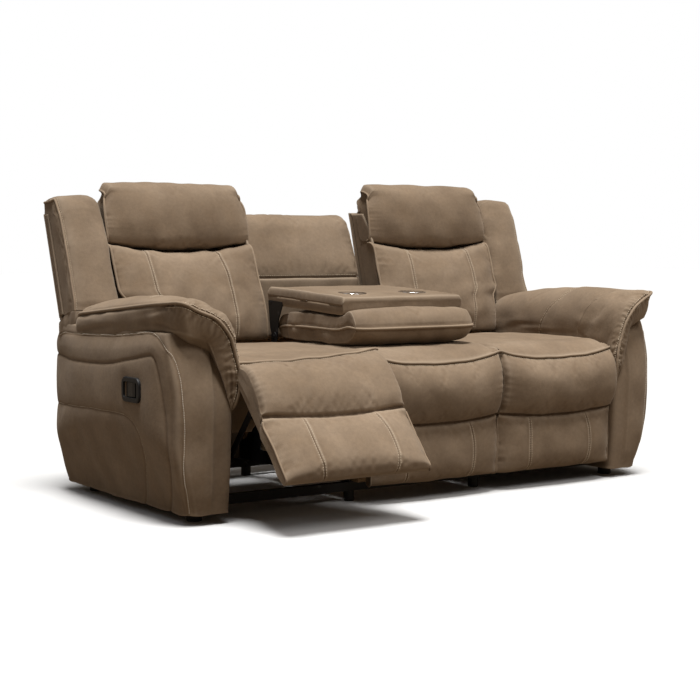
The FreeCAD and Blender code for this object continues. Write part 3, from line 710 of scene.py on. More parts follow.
def timber(name):
    m, nt, bs = nodes_of(name)
    v = coords(nt, scale=(1.5, 14, 14))
    n = noise(nt, v, 6., 6, .6, 1.2)
    g = noise(nt, coords(nt, scale=(4, 90, 90)), 7., 4, .6)
    c = ramp(nt, n, [(.3, (.36, .23, .12)), (.5, (.47, .32, .18)), (.7, (.56, .41, .25))])
    c = mix(nt, c, ramp(nt, g, [(.35, (.7, .66, .6)), (.6, (1, 1, 1))]), .6, "MULTIPLY")
    nt.links.new(c, bs.inputs["Base Color"])
    bs.inputs["Roughness"].default_value = .68
    nt.links.new(bump(nt, g, .3, .0006), bs.inputs["Normal"])
    return m


M_FAB = [nubuck("nubuck_%d" % k, k) for k in range(6)]
M_PIPE = nubuck("nubuck_piping", 9, light=1.12)
M_THREAD = thread("thread_tan", (.58, .47, .34))
M_THREAD2 = thread("thread_cream", (.70, .61, .50))
M_TIMBER = timber("timber")
M_MECH = metal("mechanism_black", (.016, .016, .017), .42, (.10, .10, .105), .55)
M_SPRING = metal("spring_steel", (.30, .30, .31), .35)
M_CHROME = metal("cup_steel", (.78, .78, .79), .12)
M_BEZEL = plastic("handle_plastic", (.005, .005, .006), .52)
M_LEVER = plastic("lever_plastic", (.016, .016, .017), .33)
M_CABLE = plastic("cable_sheath", (.012, .012, .012), .5)
M_FOOT = plastic("foot_plastic", (.012, .012, .012), .6, 300., .5)
M_ZINC = metal("zinc_yellow", (.62, .45, .16), .28)

# ================================================================== shapes
# --- back cushions, right side upright ------------------------------------
F = path([(.208, .516), (.176, .517), (.155, .533), (.148, .60), (.161, .668), (.182, .722), (.205, .785), (.226, .832),
          (.242, .857), (.268, .869), (.311, .869)], 45)
B = path([(.208, .516), (.255, .516), (.271, .535), (.284, .58), (.321, .721), (.352, .845), (.350, .864), (.311, .869)], 45)
LUMBAR_SEAMS = [(-.47, lambda w: .05 * (w - .5) - .03 * np.sin(w * 3.14), .10, .97),
                (.53, lambda w: .05 * (w - .5) + .02 * np.sin(w * 3.14), .10, .97)]
lumbar = Pad(F, B, .263, .826, 47, 5, 0., .012)


def lumbar_shape(P, S, w):
    P = P.copy()
    m = lumbar.front
    P[..., 1] += .038 * np.abs(S) ** 4 * m
    P[..., 2] -= .030 * (1 - S ** 2) * sm(P[..., 2], .74, .86)
    z = P[..., 2]
    lim = .802 + .0285 * sm(z, .655, .70)
    f = (lim - .5445) / (.826 - .5445)
    P[..., 0] = np.where(P[..., 0] > .5445, .5445 + (P[..., 0] - .5445) * f, P[..., 0])
    return P


lumbar.warp(lumbar_shape).edge_pin()
lumbar.pin[:, (lumbar.w < .05) | (np.abs(lumbar.w - 1) < .07)] = 1
for q in LUMBAR_SEAMS:                      # the sewn channels hold the cover down
    r = np.abs(lumbar.S - q[0]) < .03
    lumbar.pin[np.ix_(r & (np.abs(lumbar.T) < 1), (lumbar.w > .1) & (lumbar.w < .95))] = .55
lumbar.sim(pressure=2.0, shrink=-.003, cap=.009)

F = path([(.311, .877), (.286, .876), (.269, .882), (.259, .902), (.256, .935), (.259, .970), (.267, 1.010), (.280, 1.046),
          (.299, 1.073), (.330, 1.090), (.366, 1.098), (.395, 1.097)], 37)
B = path([(.311, .877), (.348, .880), (.368, .915), (.383, .965), (.398, .989), (.428, .993), (.443, 1.012), (.441, 1.050),
          (.420, 1.083), (.395, 1.097)], 37)
head = Pad(F, B, .262, .829, 47, 6, .002, .014)


def head_shape(P, S, w):
    P = P.copy()
    y, z = P[..., 1].copy(), P[..., 2].copy()
    m = head.front
    P[..., 1] += .040 * np.abs(S) ** 4 * m * sm(-z, -1.10, -1.05)
    P[..., 2] -= .026 * (1 - S ** 2) * sm(-z, -.96, -.885)
    P[..., 2] -= (.003 * np.abs(S) ** 3 + .026 * sm(np.abs(S), .88, 1.) ** 1.5) * sm(z, 1.0, 1.085)
    P[..., 0] -= np.sign(S + P[..., 0] * 0) * .012 * np.abs(S) ** 10 * sm(z, .99, 1.09)
    ins = .045 * sm(y, .365, .44) * sm(z, .96, 1.0)
    P[..., 0] -= np.sign(P[..., 0] - .5455) * ins * np.abs(S) ** 1.5
    return P


head.warp(head_shape).edge_pin()
head.pin[:, (head.w < .04)] = 1
head.pin[:, (head.w > 1.) & (head.w < 1.35)] = .3
head.sim(pressure=1.8, shrink=-.002, cap=.007)

# --- wing, right: rows go up, columns run round the plan -------------------
WZ = [(.56, .2035), (.60, .203), (.668, .204), (.76, .229), (.86, .256), (.985, .300), (1.015, .315), (1.03, .328)]


def wing_front(z):
    return np.interp(z, *zip(*WZ))


def rear_line(z):
    return np.interp(z, [.31, .575, .944, .984], [.251, .320, .416, .428])


def arc_z(y, r=.2365):
    return .40 + np.sqrt(np.maximum(r * r - (y - .22) ** 2, 1e-6))


pf = path([(.832, .5), (.832, .30), (.8335, .14), (.842, .045), (.862, .0), (.90, -.030), (.945, -.030), (.976, -.008),
           (.993, .055), (1.0015, .17), (1.003, .30), (1.003, .5)], 29)
pb = chain(([(.832, .5), (.832, .9)], 6), ([(.832, .9), (.834, .975), (.842, 1.)], 3), ([(.842, 1.), (.993, 1.)], 12),
           ([(.993, 1.), (1.001, .975), (1.003, .9)], 3), ([(1.003, .9), (1.003, .5)], 4))
ring = np.vstack([pf, pb[::-1][1:-1]])
nvw = len(ring)
mid = (ring + ring[(-np.arange(nvw)) % nvw]) / 2
rows = [(0., -t) for t in (90, 60, 30)] + [(h, 0.) for h in np.linspace(0, 1, 38)] + [(1., t) for t in (15, 30, 45, 60, 75, 90)]
WP = np.zeros((len(rows), nvw, 3))
for i, (h, t) in enumerate(rows):
    c = math.cos(math.radians(t))
    q = mid + (ring - mid) * c
    z = .62 + (1.030 - .62) * h + np.zeros(nvw)
    for _ in range(4):
        yf = wing_front(z)
        yr = np.where(z < .975, rear_line(z) - .0365, np.minimum(.428, rear_line(z) - .0365 + .045 * sm(z, .975, .99)))
        y = yf + (yr - yf) * q[:, 1]
        zb = arc_z(y)
        z = zb + (1.030 - zb) * h
    top = 1.040 - .014 * np.clip((q[:, 0] - .955) / .048, 0, 1) ** 3 - .030 * np.clip((.890 - q[:, 0]) / .058, 0, 1) ** 2
    z = zb + (top - zb) * h + (.006 * math.sin(math.radians(t)) if t > 0 else -.001 * math.sin(math.radians(-t)))
    WP[i, :, 0], WP[i, :, 1], WP[i, :, 2] = q[:, 0], y, z


class Ring(Pad):
    """A pad whose rows were given; sigma is 0..1 up the rows."""

    def __init__(s, P, rows, nf, hw):
        s.P, s.nf, s.nv, s.hw = P, nf, P.shape[1], hw
        s.S = np.array([r[0] for r in rows])
        s.T = np.array([r[1] for r in rows])
        s.sig = s.S * 2 - 1 + s.T / 90 * .15
        i = np.arange(s.nv)
        s.w = np.where(i <= nf, i / nf, 1 + (i - nf) / max(1, s.nv - nf))
        s.front = (np.sin(np.clip(s.w, 0, 1) * np.pi) ** .6)[None, :] * (s.w <= 1)[None, :]
        s.pin = np.zeros(P.shape[:2])
        s.pin[:, s.w > 1.02] = 1
        s.pin[np.abs(s.T) > 80] = 1


wing = Ring(WP, rows, 28, .21)
wing.pin[s_ := (wing.S < .03)] = 1
wing.pin[:, (wing.w < .10) | ((wing.w > .86) & (wing.w <= 1.0))] = 1
wing.sim(pressure=2.0, shrink=-.002, cap=.008)

# --- seat cushions ---------------------------------------------------------
SEAT_F = [(.126, .457), (.1265, .488), (.118, .5025), (.092, .508), (0, .5115), (-.12, .513), (-.25, .5125), (-.34, .5105),
          (-.383, .505), (-.4005, .493), (-.4025, .470), (-.4025, .455)]
SEAT_B = [(.126, .457), (.124, .418), (.10, .406), (-.37, .405), (-.398, .413), (-.4025, .455)]
F, B = path(SEAT_F, 56), path(SEAT_B, 56)
seat = Pad(F, B, .2725, .8020, 45, 4, .0008)
seat_c = Pad(F, B, -.2635, .2635, 45, 4, .0008)
for s in (seat, seat_c):
    s.pin[:, (s.w < .12) | ((s.w > .9) & (s.w <= 1))] = 1
    s.edge_pin()
    s.sim(pressure=2.6 if s is seat else 1.6, shrink=-.004, cap=.010 if s is seat else .005)

# --- front pads: lower panel, crease, roll, piping -------------------------
LOW = [(-.452, .062), (-.472, .0635), (-.492, .078), (-.5015, .125), (-.5045, .18), (-.5015, .228), (-.494, .258), (-.486, .2725)]
ROLL = [(-.486, .2725), (-.499, .281), (-.516, .304), (-.528, .345), (-.5315, .385), (-.529, .420), (-.519, .450), (-.503, .471), (-.4875, .4835)]
TOPF = [(-.4875, .4835), (-.470, .4935), (-.440, .4985), (-.412, .4985), (-.4045, .4955)]
PADF = chain((LOW, 20), (ROLL, 21), (TOPF, 7))
PADB = path([(-.452, .062), (-.437, .066), (-.4355, .10), (-.4352, .30), (-.435, .474), (-.4300, .4895), (-.412, .4895), (-.4045, .4955)], 49)


def pad_shape(left=False):
    def fn(P, S, w):
        P = P.copy()
        a = np.abs(S)
        m = (w <= 1) * 1.
        cr = np.exp(-((w * 48 - 20) / 11.) ** 2) * m
        P[..., 2] -= .018 * (1 - S ** 2) * cr                                   # the crease sags in the middle
        tp = np.exp(-((w * 48 - 41) / 8.) ** 2) * m
        P[..., 2] -= .024 * (1 - a ** 2.2) * tp * sm(-P[..., 1], .41, .47)      # and so does the piping
        P[..., 2] += .006 * a ** 6 * tp
        c = w * 48
        lo = sm(-c, -21, -17) * sm(c, -2, 6)
        ro = sm(c, 19, 23) * sm(-c, -42, -38)
        P[..., 1] += ((.030 * a ** 9 + .004 * a ** 2) * lo + (.016 * a ** 10 + .012 * sm(a, .955, 1.) ** 2) * ro) * m
        if left:                                                                # the raised rest has slid out a little
            z0 = P[..., 2].copy()
            P[..., 2] = .4835 - (.4835 - z0) * np.where(z0 < .4835, 1.075, 1.)
            dz = np.interp(S, [-1, -.47, -.07, .32, .93, 1.], [.003, -.010, -.020, -.024, -.026, -.024]) + .024 * (1 - a ** 2.2) - .006 * a ** 6
            P[..., 2] += dz * tp * sm(-P[..., 1], .41, .47)
        return P
    return fn


pads = {}
for key, x0, x1 in (("side", .2725, .8010), ("left", .2725, .8010), ("centre", -.2645, .2645)):
    s = Pad(PADF, PADB, x0, x1, 45, 5, .0012)
    s.warp(pad_shape(key == "left")).edge_pin()
    s.pin[:, (s.w * 48 < 1.5) | (np.abs(s.w * 48 - 20) < .6) | (np.abs(s.w * 48 - 41) < .6) | ((s.w * 48 > 44) & (s.w <= 1.))] = 1
    s.sim(pressure=2.4, shrink=-.004, cap=.009)
    pads[key] = s

# --- arm cover: rows go up, columns run round the plan ---------------------
ARM_XZ = [(.033, .945), (.10, .963), (.18, .985), (.25, 1.007), (.33, 1.023), (.40, 1.029), (.47, 1.027), (.53, 1.019), (.57, 1.007), (.588, .998), (.64, .966)]
ARM_XY = [(-.492, .972), (-.47, .990), (-.44, 1.003), (-.38, 1.018), (-.25, 1.026), (-.10, 1.030), (.05, 1.028), (.20, 1.018), (.38, .993), (.44, .974)]
ARM_YF = [(.033, -.468), (.12, -.4775), (.20, -.4840), (.34, -.4895), (.42, -.486), (.50, -.470), (.55, -.452), (.60, -.430)]
ARM_YB = [(.033, .424), (.30, .428), (.42, .429), (.47, .426), (.53, .407), (.57, .372), (.60, .335)]
_xz, _xy = dense(ARM_XZ), dense(ARM_XY)
_yf, _yb = dense(ARM_YF), dense(ARM_YB)


def arm_x(y, z):
    a = np.interp(z, _xz[:, 0], _xz[:, 1])
    b = np.interp(y, _xy[:, 0], _xy[:, 1])
    h = np.maximum(.014 - np.abs(a - b), 0) / .014
    return np.minimum(a, b) - h * h * .014 / 4


def arm_row(z):
    yf, yb = np.interp(z, _yf[:, 0], _yf[:, 1]), np.interp(z, _yb[:, 0], _yb[:, 1])
    xm = .870
    ys = np.linspace(yb - .030, yf + .028, 72)
    so = np.stack([arm_x(ys, z), ys], 1)
    rc = path([(so[0, 0] - .030, yb), (so[0, 0] - .008, yb - .007), so[0]], 6)
    fc = path([so[-1], (so[-1, 0] - .007, yf + .008), (so[-1, 0] - .027, yf)], 6)
    Fp = np.vstack([path([(xm, yb), rc[0]], 8)[:-1], rc[:-1], so[:-1], fc[:-1], path([fc[-1], (xm, yf - .006)], 10)])
    n = len(Fp)
    xi = .8065 + .007 * float(sm(z, .36, .42))
    yi = yf - .010
    Bp = np.vstack([path([(xm, yb), (xi + .012, yb)], 7)[:-1], path([(xi + .012, yb), (xi + .003, yb - .003), (xi, yb - .012)], 4)[:-1],
                    even(np.array([(xi, yb - .012), (xi, yi + .009)]), n - 7 + 1 - 4 + 1 - 4 + 1 - 6)[:-1],
                    path([(xi, yi + .009), (xi + .0025, yi + .0025), (xi + .009, yi)], 4)[:-1], path([(xi + .009, yi), (xm, yf - .006)], 7)])
    return Fp, Bp


zr = np.r_[np.linspace(.033, .588, 58)]
first = arm_row(.3)
nfa = len(first[0]) - 1
rows = [(0., -t) for t in (90, 45)] + [(h, 0.) for h in np.linspace(0, 1, 58)] + [(1., t) for t in (45, 90)]
AP = np.zeros((len(rows), 2 * nfa, 3))
for i, (h, t) in enumerate(rows):
    z = np.interp(h, np.linspace(0, 1, 58), zr)
    Fp, Bp = arm_row(z)
    Bp = even(Bp, nfa + 1)
    ring = np.vstack([Fp, Bp[::-1][1:-1]])
    md = (ring + ring[(-np.arange(2 * nfa)) % (2 * nfa)]) / 2
    q = md + (ring - md) * math.cos(math.radians(t))
    AP[i, :, :2], AP[i, :, 2] = q, z
arm = Ring(AP, rows, nfa, .2835)

# --- arm pad: sections fan round the front ---------------------------------
ZT = [(.23, .640), (.212, .650), (.190, .659), (.15, .668), (.052, .683), (-.131, .694), (-.302, .700), (-.40, .694), (-.495, .683)]


def ztop(y):
    return float(np.interp(-y, [-a for a, _ in ZT], [b for _, b in ZT]))


def band(q, c, n, h):
    q, c, n = np.array(q), np.array(c), np.array(n)
    return [tuple(q + (c - q) * k + n * h * math.sin(math.pi * min(1, k * .9 + .08)) ** .8) for k in (.22, .48, .76)] + [tuple(c)]


ST = []
for y, xq, zq, xc, zc in ((.212, .990, .612, .990, .567), (.190, .999, .626, 1.001, .563), (.12, 1.004, .634, 1.0065, .562), (.03, 1.005, .642, 1.0065, .563),
                          (-.06, 1.0045, .650, 1.0045, .567), (-.154, 1.004, .658, 1.000, .574), (-.25, 1.003, .667, .995, .583), (-.335, 1.001, .674, .990, .592),
                          (-.430, .998, .680, .984, .596)):
    zt = ztop(y)
    xi = .8062 - .0085 * float(sm(-y, -.10, .0))
    k = float(sm(-y, .25, .43)) * .10
    ST.append([(xq, y, zq), (.978, y, zq + (zt - zq) * .62 + .001), (.940, y, zt - .004), (.900, y + k * .2, zt), (.862, y + k * .4, zt - .006),
               (.833, y + k * .6, zt - .026), (.814, y + k * .8, zt - .058), (xi + .003, y + k, zt - .100), (xi, y + k * 1.15, .555), (xi + .001, y + k * 1.25, .50),
               (.8075, y + k * 1.3, .44)] + band((xq, y, zq), (xc, y, zc), (1, 0, 0), .011))
FR = [
    ([(.982, -.505, .682), (.962, -.497, .690), (.93, -.476, .696), (.895, -.450, .695), (.862, -.415, .684), (.832, -.376, .660), (.811, -.345, .622), (.801, -.325, .58), (.798, -.31, .535), (.800, -.305, .485), (.8075, -.30, .44)],
     (.966, -.488, .590), (.7, -.7, 0), .004),
    ([(.934, -.514, .659), (.920, -.511, .668), (.897, -.497, .676), (.868, -.474, .674), (.840, -.442, .657), (.818, -.410, .626), (.804, -.385, .588), (.799, -.37, .55), (.798, -.358, .51), (.801, -.348, .47), (.8075, -.345, .43)],
     (.936, -.492, .580), (0, -1, 0), .005),
    ([(.884, -.527, .638), (.872, -.527, .647), (.853, -.516, .653), (.833, -.495, .648), (.816, -.468, .630), (.804, -.440, .600), (.799, -.42, .565), (.797, -.405, .53), (.798, -.393, .495), (.801, -.385, .46), (.8075, -.38, .425)],
     (.905, -.494, .570), (0, -1, 0), .006),
    ([(.854, -.529, .611), (.843, -.530, .619), (.828, -.521, .622), (.814, -.502, .614), (.804, -.478, .596), (.799, -.457, .570), (.797, -.440, .54), (.797, -.428, .51), (.798, -.42, .48), (.802, -.412, .45), (.8075, -.41, .42)],
     (.889, -.495, .561), (0, -1, 0), .006),
    ([(.831, -.528, .580), (.822, -.530, .586), (.811, -.522, .587), (.802, -.505, .578), (.798, -.487, .562), (.796, -.470, .54), (.796, -.456, .515), (.797, -.446, .49), (.799, -.439, .465), (.803, -.433, .44), (.8075, -.43, .415)],
     (.880, -.499, .535), (0, -1, 0), .006),
    ([(.819, -.526, .552), (.811, -.528, .557), (.803, -.520, .556), (.797, -.506, .548), (.795, -.490, .535), (.795, -.477, .515), (.796, -.466, .495), (.797, -.458, .472), (.800, -.452, .45), (.804, -.448, .43), (.8075, -.446, .41)],
     (.872, -.502, .512), (0, -1, 0), .006),
    ([(.812, -.524, .526), (.804, -.526, .530), (.797, -.518, .528), (.793, -.505, .521), (.792, -.492, .508), (.793, -.481, .492), (.795, -.472, .475), (.797, -.465, .455), (.800, -.461, .438), (.804, -.458, .42), (.8075, -.456, .405)],
     (.8635, -.504, .488), (0, -1, 0), .006),
    ([(.803, -.523, .499), (.797, -.524, .502), (.792, -.516, .500), (.790, -.505, .494), (.790, -.495, .484), (.792, -.487, .47), (.794, -.48, .455), (.797, -.474, .44), (.801, -.47, .425), (.805, -.467, .41), (.8075, -.465, .398)],
     (.855, -.505, .465), (0, -1, 0), .006),
    ([(.796, -.523, .472), (.792, -.523, .474), (.789, -.516, .472), (.788, -.507, .467), (.789, -.499, .459), (.791, -.492, .448), (.794, -.486, .436), (.797, -.481, .424), (.801, -.477, .412), (.805, -.474, .40), (.8075, -.472, .39)],
     (.846, -.506, .440), (0, -1, 0), .006),
    ([(.794, -.522, .446), (.791, -.522, .447), (.789, -.516, .445), (.789, -.509, .441), (.790, -.502, .435), (.792, -.497, .427), (.795, -.492, .418), (.798, -.487, .409), (.802, -.483, .40), (.805, -.480, .39), (.8075, -.478, .382)],
     (.838, -.506, .418), (0, -1, 0), .005),
    ([(.7955, -.518, .415), (.793, -.517, .415), (.792, -.512, .414), (.792, -.507, .411), (.793, -.503, .407), (.795, -.499, .402), (.797, -.495, .396), (.800, -.491, .39), (.803, -.488, .384), (.806, -.486, .378), (.8075, -.484, .372)],
     (.829, -.505, .394), (0, -1, 0), .004),
    ([(.800, -.510, .385), (.7985, -.509, .385), (.798, -.506, .384), (.7985, -.503, .382), (.7995, -.501, .380), (.801, -.499, .377), (.803, -.496, .374), (.8045, -.494, .370), (.806, -.492, .367), (.807, -.491, .364), (.8075, -.490, .361)],
     (.820, -.503, .373), (0, -1, 0), .003),
    ([(.806, -.501, .364), (.8055, -.5005, .3638), (.8053, -.5, .3636), (.8053, -.499, .3633), (.8054, -.498, .363), (.8056, -.497, .3625), (.806, -.4965, .362), (.8064, -.496, .3615), (.807, -.4955, .361), (.8074, -.495, .3605), (.8078, -.4948, .360)],
     (.811, -.4985, .356), (0, -1, 0), .001),
]
FRONT = [c + band(c[0], b, n, h) for c, b, n, h in FR]
ST = np.array(ST + FRONT)
qd = np.r_[0, np.cumsum(np.linalg.norm(np.diff(ST[:, 0], axis=0), axis=1))]
nst = 96
DD = dense(ST.reshape(len(ST), -1), m=24)
LQ = np.r_[0, np.cumsum(np.linalg.norm(np.diff(DD[:, :3], axis=0), axis=1))]
sq = np.linspace(0, LQ[-1], nst)
SS = np.stack([np.interp(sq, LQ, DD[:, k]) for k in range(DD.shape[1])], 1).reshape(nst, -1, 3)
NA, NB = 34, 13
PADP = np.zeros((nst, 2 * NA, 3))
for i in range(nst):
    c = SS[i]
    top = path(c[:11], NA + 1)
    bnd = path(np.vstack([c[:1], c[11:15]]), NB + 1)
    under = even(np.vstack([c[14:15], [.90 * c[14] + .10 * c[10]], c[10:11]]), NA - NB + 1)
    back = np.vstack([bnd[:-1], under])
    PADP[i] = np.vstack([top, back[::-1][1:-1]])
# close both ends on their middle line
caps0, caps1 = [], []
for t in (90, 60, 30):
    c = math.cos(math.radians(t))
    for src, out, dirn in ((PADP[0], caps0, (0, .010, 0)), (PADP[-1], caps1, (0, 0, -.006))):
        md = (src + src[(-np.arange(2 * NA)) % (2 * NA)]) / 2
        out.append(md + (src - md) * c + np.array(dirn) * math.sin(math.radians(t)))
PADP = np.concatenate([np.array(caps0), PADP, np.array(caps1[::-1])])
rows = [(0., -t) for t in (90, 60, 30)] + [(h, 0.) for h in np.linspace(0, 1, nst)] + [(1., t) for t in (30, 60, 90)]
apad = Ring(PADP, rows, NA, LQ[-1] / 2)
ci = 2 * NA - NB                                       # column of the crease
col = np.arange(2 * NA)
apad.pin[:] = 0
apad.pin[:, 0] = 1
apad.pin[:, (col >= NA - 7) & (col <= ci)] = 1
apad.pin[apad.S > .985] = 1
apad.sim(pressure=2.0, shrink=.003, cap=.007)

# --- centre back: one sleeve over the frame --------------------------------
F = chain(([(.395, .505), (.368, .507), (.3595, .530), (.359, .60), (.359, .70), (.361, .728)], 18),
          ([(.361, .728), (.366, .742), (.3655, .745)], 2),
          ([(.3655, .745), (.365, .752), (.380, .790), (.414, .877), (.440, .941), (.455, .963), (.478, .975), (.500, .978)], 24))
B = path([(.395, .505), (.418, .503), (.4265, .52), (.436, .60), (.447, .70), (.505, .86), (.534, .938), (.538, .960), (.525, .974), (.500, .978)], 45)
cback = Pad(F, B, -.2525, .2525, 43, 5, .002)


def cb_shape(P, S, w):
    P = P.copy()
    P[..., 1] -= .007 * (1 - np.abs(S) ** 3) * cback.front * sm(P[..., 2], .735, .79)
    P[..., 0] *= 1 + .020 * sm(P[..., 2], .64, .68)
    P[..., 2] -= .010 * sm(np.abs(S), .95, 1.) * sm(P[..., 2], .93, .975)
    return P


cback.warp(cb_shape).edge_pin()
cback.pin[:, (cback.w < .04) | (np.abs(cback.w * 44 - 19) < 1.6)] = 1
cback.pin[:, (cback.w < .40)] = 1
cback.sim(pressure=2.0, shrink=-.003, cap=.008)

# --- folded table: tray cover in its own level frame, then tipped ----------
TILT = math.radians(2.9)


def tip(G):
    y, z = G[..., 1] + .287, G[..., 2] - .683
    out = G.copy()
    out[..., 1] = -.287 + y * math.cos(TILT) - z * math.sin(TILT)
    out[..., 2] = .683 + y * math.sin(TILT) + z * math.cos(TILT)
    return out


F = chain(([(.200, .660), (.1998, .672), (.194, .6805), (.184, .683)], 7), ([(.184, .683), (.05, .6845), (-.12, .6845), (-.272, .6825)], 40),
          ([(-.272, .6825), (-.2825, .680), (-.287, .671), (-.287, .660)], 7))
B = chain(([(.200, .660), (.1998, .633), (.194, .622), (.184, .6190)], 7), ([(.184, .6190), (-.268, .6190)], 40),
          ([(-.268, .6190), (-.281, .6225), (-.287, .635), (-.287, .660)], 7))
tray = Pad(F, B, -.2475, .2475, 45, 7, .0075)

F = path([(.150, .560), (.142, .596), (.110, .622), (0, .630), (-.13, .627), (-.235, .622), (-.285, .629), (-.318, .643), (-.345, .643),
          (-.366, .622), (-.377, .598), (-.382, .577)], 50)
B = path([(.150, .560), (.142, .530), (.110, .516), (-.05, .5135), (-.25, .5135), (-.322, .521), (-.358, .541), (-.376, .562), (-.382, .577)], 50)
pillow = Pad(F, B, -.2495, .2495, 45, 7, .004)


def pillow_shape(P, S, w):
    P = P.copy()
    y = P[..., 1]
    P[..., 0] *= 1 - .058 * sm(y, .055, .10)
    a = np.abs(S)
    P[..., 1] += .022 * a ** 7 * sm(-y, .26, .37)                            # rounded front corners in plan
    mz = .572 + .010 * sm(-y, -.10, .30)
    P[..., 2] = mz + (P[..., 2] - mz) * (1 - .18 * a ** 6)
    return P


pillow.warp(pillow_shape)
pillow.pin[:] = 0
pillow.pin[:, np.abs(pillow.w - 1) < .01] = 1
pillow.pin[np.abs(pillow.T) > 80] = 1
yy = pillow.P[..., 1]
pillow.pin[(yy > -.285) & (pillow.w[None, :] < 1)] = 1
pillow.pin[(yy > -.30) & (pillow.w[None, :] > 1)] = 1
pillow.sim(pressure=2.4, shrink=-.001, cap=.009)

run_cloth()

# ================================================================== pieces
HANDLE = (-.2500, .407, .044, .027)          # y, z and half sizes of the handle's recess


def relief(s, a1=.0009, wl1=.075, a2=.00035, wl2=.022, seed=1):
    """Soft unevenness of foam under cloth."""
    return (a1 * waves(s.G, wl1, seed) + .15 * a2 * waves(s.G, wl2, seed + 50)) * (s.W < 1.02)


def edge_gathers(s, sigma_side, amp=.0016, reach=.030, seed=3, mean=.014, w0=.05, w1=.97):
    """Small gathers that run in from a piped side edge."""
    d = np.maximum(0, (1 - s.R * sigma_side) * s.hw)
    L = np.r_[0, np.cumsum(np.linalg.norm(np.diff(s.G[len(s.r) // 2, :s.nfc], axis=0), axis=1))]
    t = np.zeros(len(s.c))
    t[:s.nfc] = L
    g = puckers(t, seed, mean)[None, :] - .45
    amt = waves(np.stack([t * 1.0, t * 0, t * 0], -1), .16, seed + 9)[None, :]
    amt = .55 + .45 * np.clip(amt, -1, 1)
    on = (np.abs(s.R) <= 1.0001) * (s.W <= 1) * sm(s.W, w0 - .03, w0 + .03) * sm(-s.W, -w1 - .02, -w1 + .03)
    return amp * g * amt * np.exp(-d / reach) * sm(d, 0, .005) * on * (s.R * sigma_side > 0)


def back_pair(side):
    sg = 1 if side == "right" else -1
    sd = 10 if side == "right" else 60
    mv = None if side == "right" else left_back
    body = side + "_back"
    # lumbar
    s = lumbar.final(seams=LUMBAR_SEAMS)
    d = relief(s, .0012, .11, .0004, .028, sd) + s.seam_disp()
    d += edge_gathers(s, -1, .0022, .028, sd + 1) + edge_gathers(s, 1, .0018, .024, sd + 2)
    top = (1 - s.W) * .52
    d += .0016 * (puckers(s.R * s.hw + .3, sd + 3, .026) - .4) * np.exp(-np.maximum(top - .03, 0) / .022) * (s.W < 1) * (np.abs(s.R) < 1)
    s.push(d)
    s.mesh(side + "_lumbar_cover", body, M_FAB[1 if sg > 0 else 4], [side + "_lumbar_cushion"], .65, mv)
    G, N = s.G, s.N
    st = Parts()
    for q in LUMBAR_SEAMS:
        j0, j1 = np.searchsorted(s.W[0, :s.nfc], q[2] + .01), np.searchsorted(s.W[0, :s.nfc], q[3] - .005)
        for off in (-.0046, .0046):
            r = s.row(q[0], off)
            st.stitches(G[r, j0:j1], N[r, j0:j1], seed=sd + int(off * 1e4))
    st.object(side + "_lumbar_stitching", body, M_THREAD, mv)
    pp = Parts()
    for e in (-1., 1.):
        r = s.row(e)
        j0, j1 = np.searchsorted(s.W[0, :s.nfc], .06), np.searchsorted(s.W[0, :s.nfc], .965)
        pp.tube(G[r, j0:j1], unit(N[r, j0:j1] + np.array([.6 * e, -.3, 0])), seed=sd)
    # head
    s = head.final()
    d = relief(s, .0013, .12, .0004, .03, sd + 5)
    d += edge_gathers(s, -1, .0024, .030, sd + 6) + edge_gathers(s, 1, .0020, .026, sd + 7)
    bot = s.W * .36
    d += .0018 * (puckers(s.R * s.hw + .3, sd + 8, .03) - .4) * np.exp(-np.maximum(bot - .02, 0) / .03) * (s.W < 1) * (np.abs(s.R) < 1)
    s.push(d)
    s.mesh(side + "_head_cover", body, M_FAB[2 if sg > 0 else 1], [side + "_head_pillow"], .7, mv)
    G, N = s.G, s.N
    for e in (-1., 1.):
        r = s.row(e)
        j0, j1 = np.searchsorted(s.W[0, :s.nfc], .05), np.searchsorted(s.W[0, :s.nfc], .90)
        pp.tube(G[r, j0:j1], unit(N[r, j0:j1] + np.array([.5 * e, 0, 0])), r=.0038, lift=.0008, seed=sd + 1)
    pp.object(side + "_cushion_piping", body, M_PIPE, mv)
    # wing
    s = wing.final(dx=.005, df=.0048, db=.016)
    d = relief(s, .0014, .12, .0004, .03, sd + 11)
    s.push(d)
    s.mesh(side + "_wing_cover", body, M_FAB[3 if sg > 0 else 0], [side + "_wing"], .6, mv)
    G, N = s.G, s.N
    pw = Parts()
    x = G[len(s.r) // 2, :s.nfc, 0]
    j = int(np.argmin(np.abs(x - .9955) + (np.arange(s.nfc) < s.nfc * .5) * 9))
    i0, i1 = s.row(-1.), s.row(1.)
    pts = [G[i, j] for i in range(i0 + 1, i1 + 1)]
    nn = [N[i, j] for i in range(i0 + 1, i1 + 1)]
    jj = range(j, s.nfc + 2)
    pw.tube(np.array(pts + [G[i1, k] for k in jj][1:]), unit(np.array(nn + [N[i1, k] for k in jj][1:])), seed=sd + 2)
    pw.object(side + "_wing_piping", body, M_PIPE, mv)
    st = Parts()
    st.stitches(G[i0 + 1:i1, j - 2], N[i0 + 1:i1, j - 2], seed=sd + 4)
    st.object(side + "_wing_stitching", body, M_THREAD, mv)


back_pair("right")
back_pair("left")


# --- outside backs, side borders -------------------------------------------
def slab_rows(xs, fn):
    """Rows at each x in xs; fn(x) gives front and back paths (y, z)."""
    R = []
    for x in xs:
        Fq, Bq = fn(x)
        ring = np.vstack([Fq, Bq[::-1][1:-1]])
        R.append(np.column_stack([np.full(len(ring), x), ring]))
    return np.array(R)


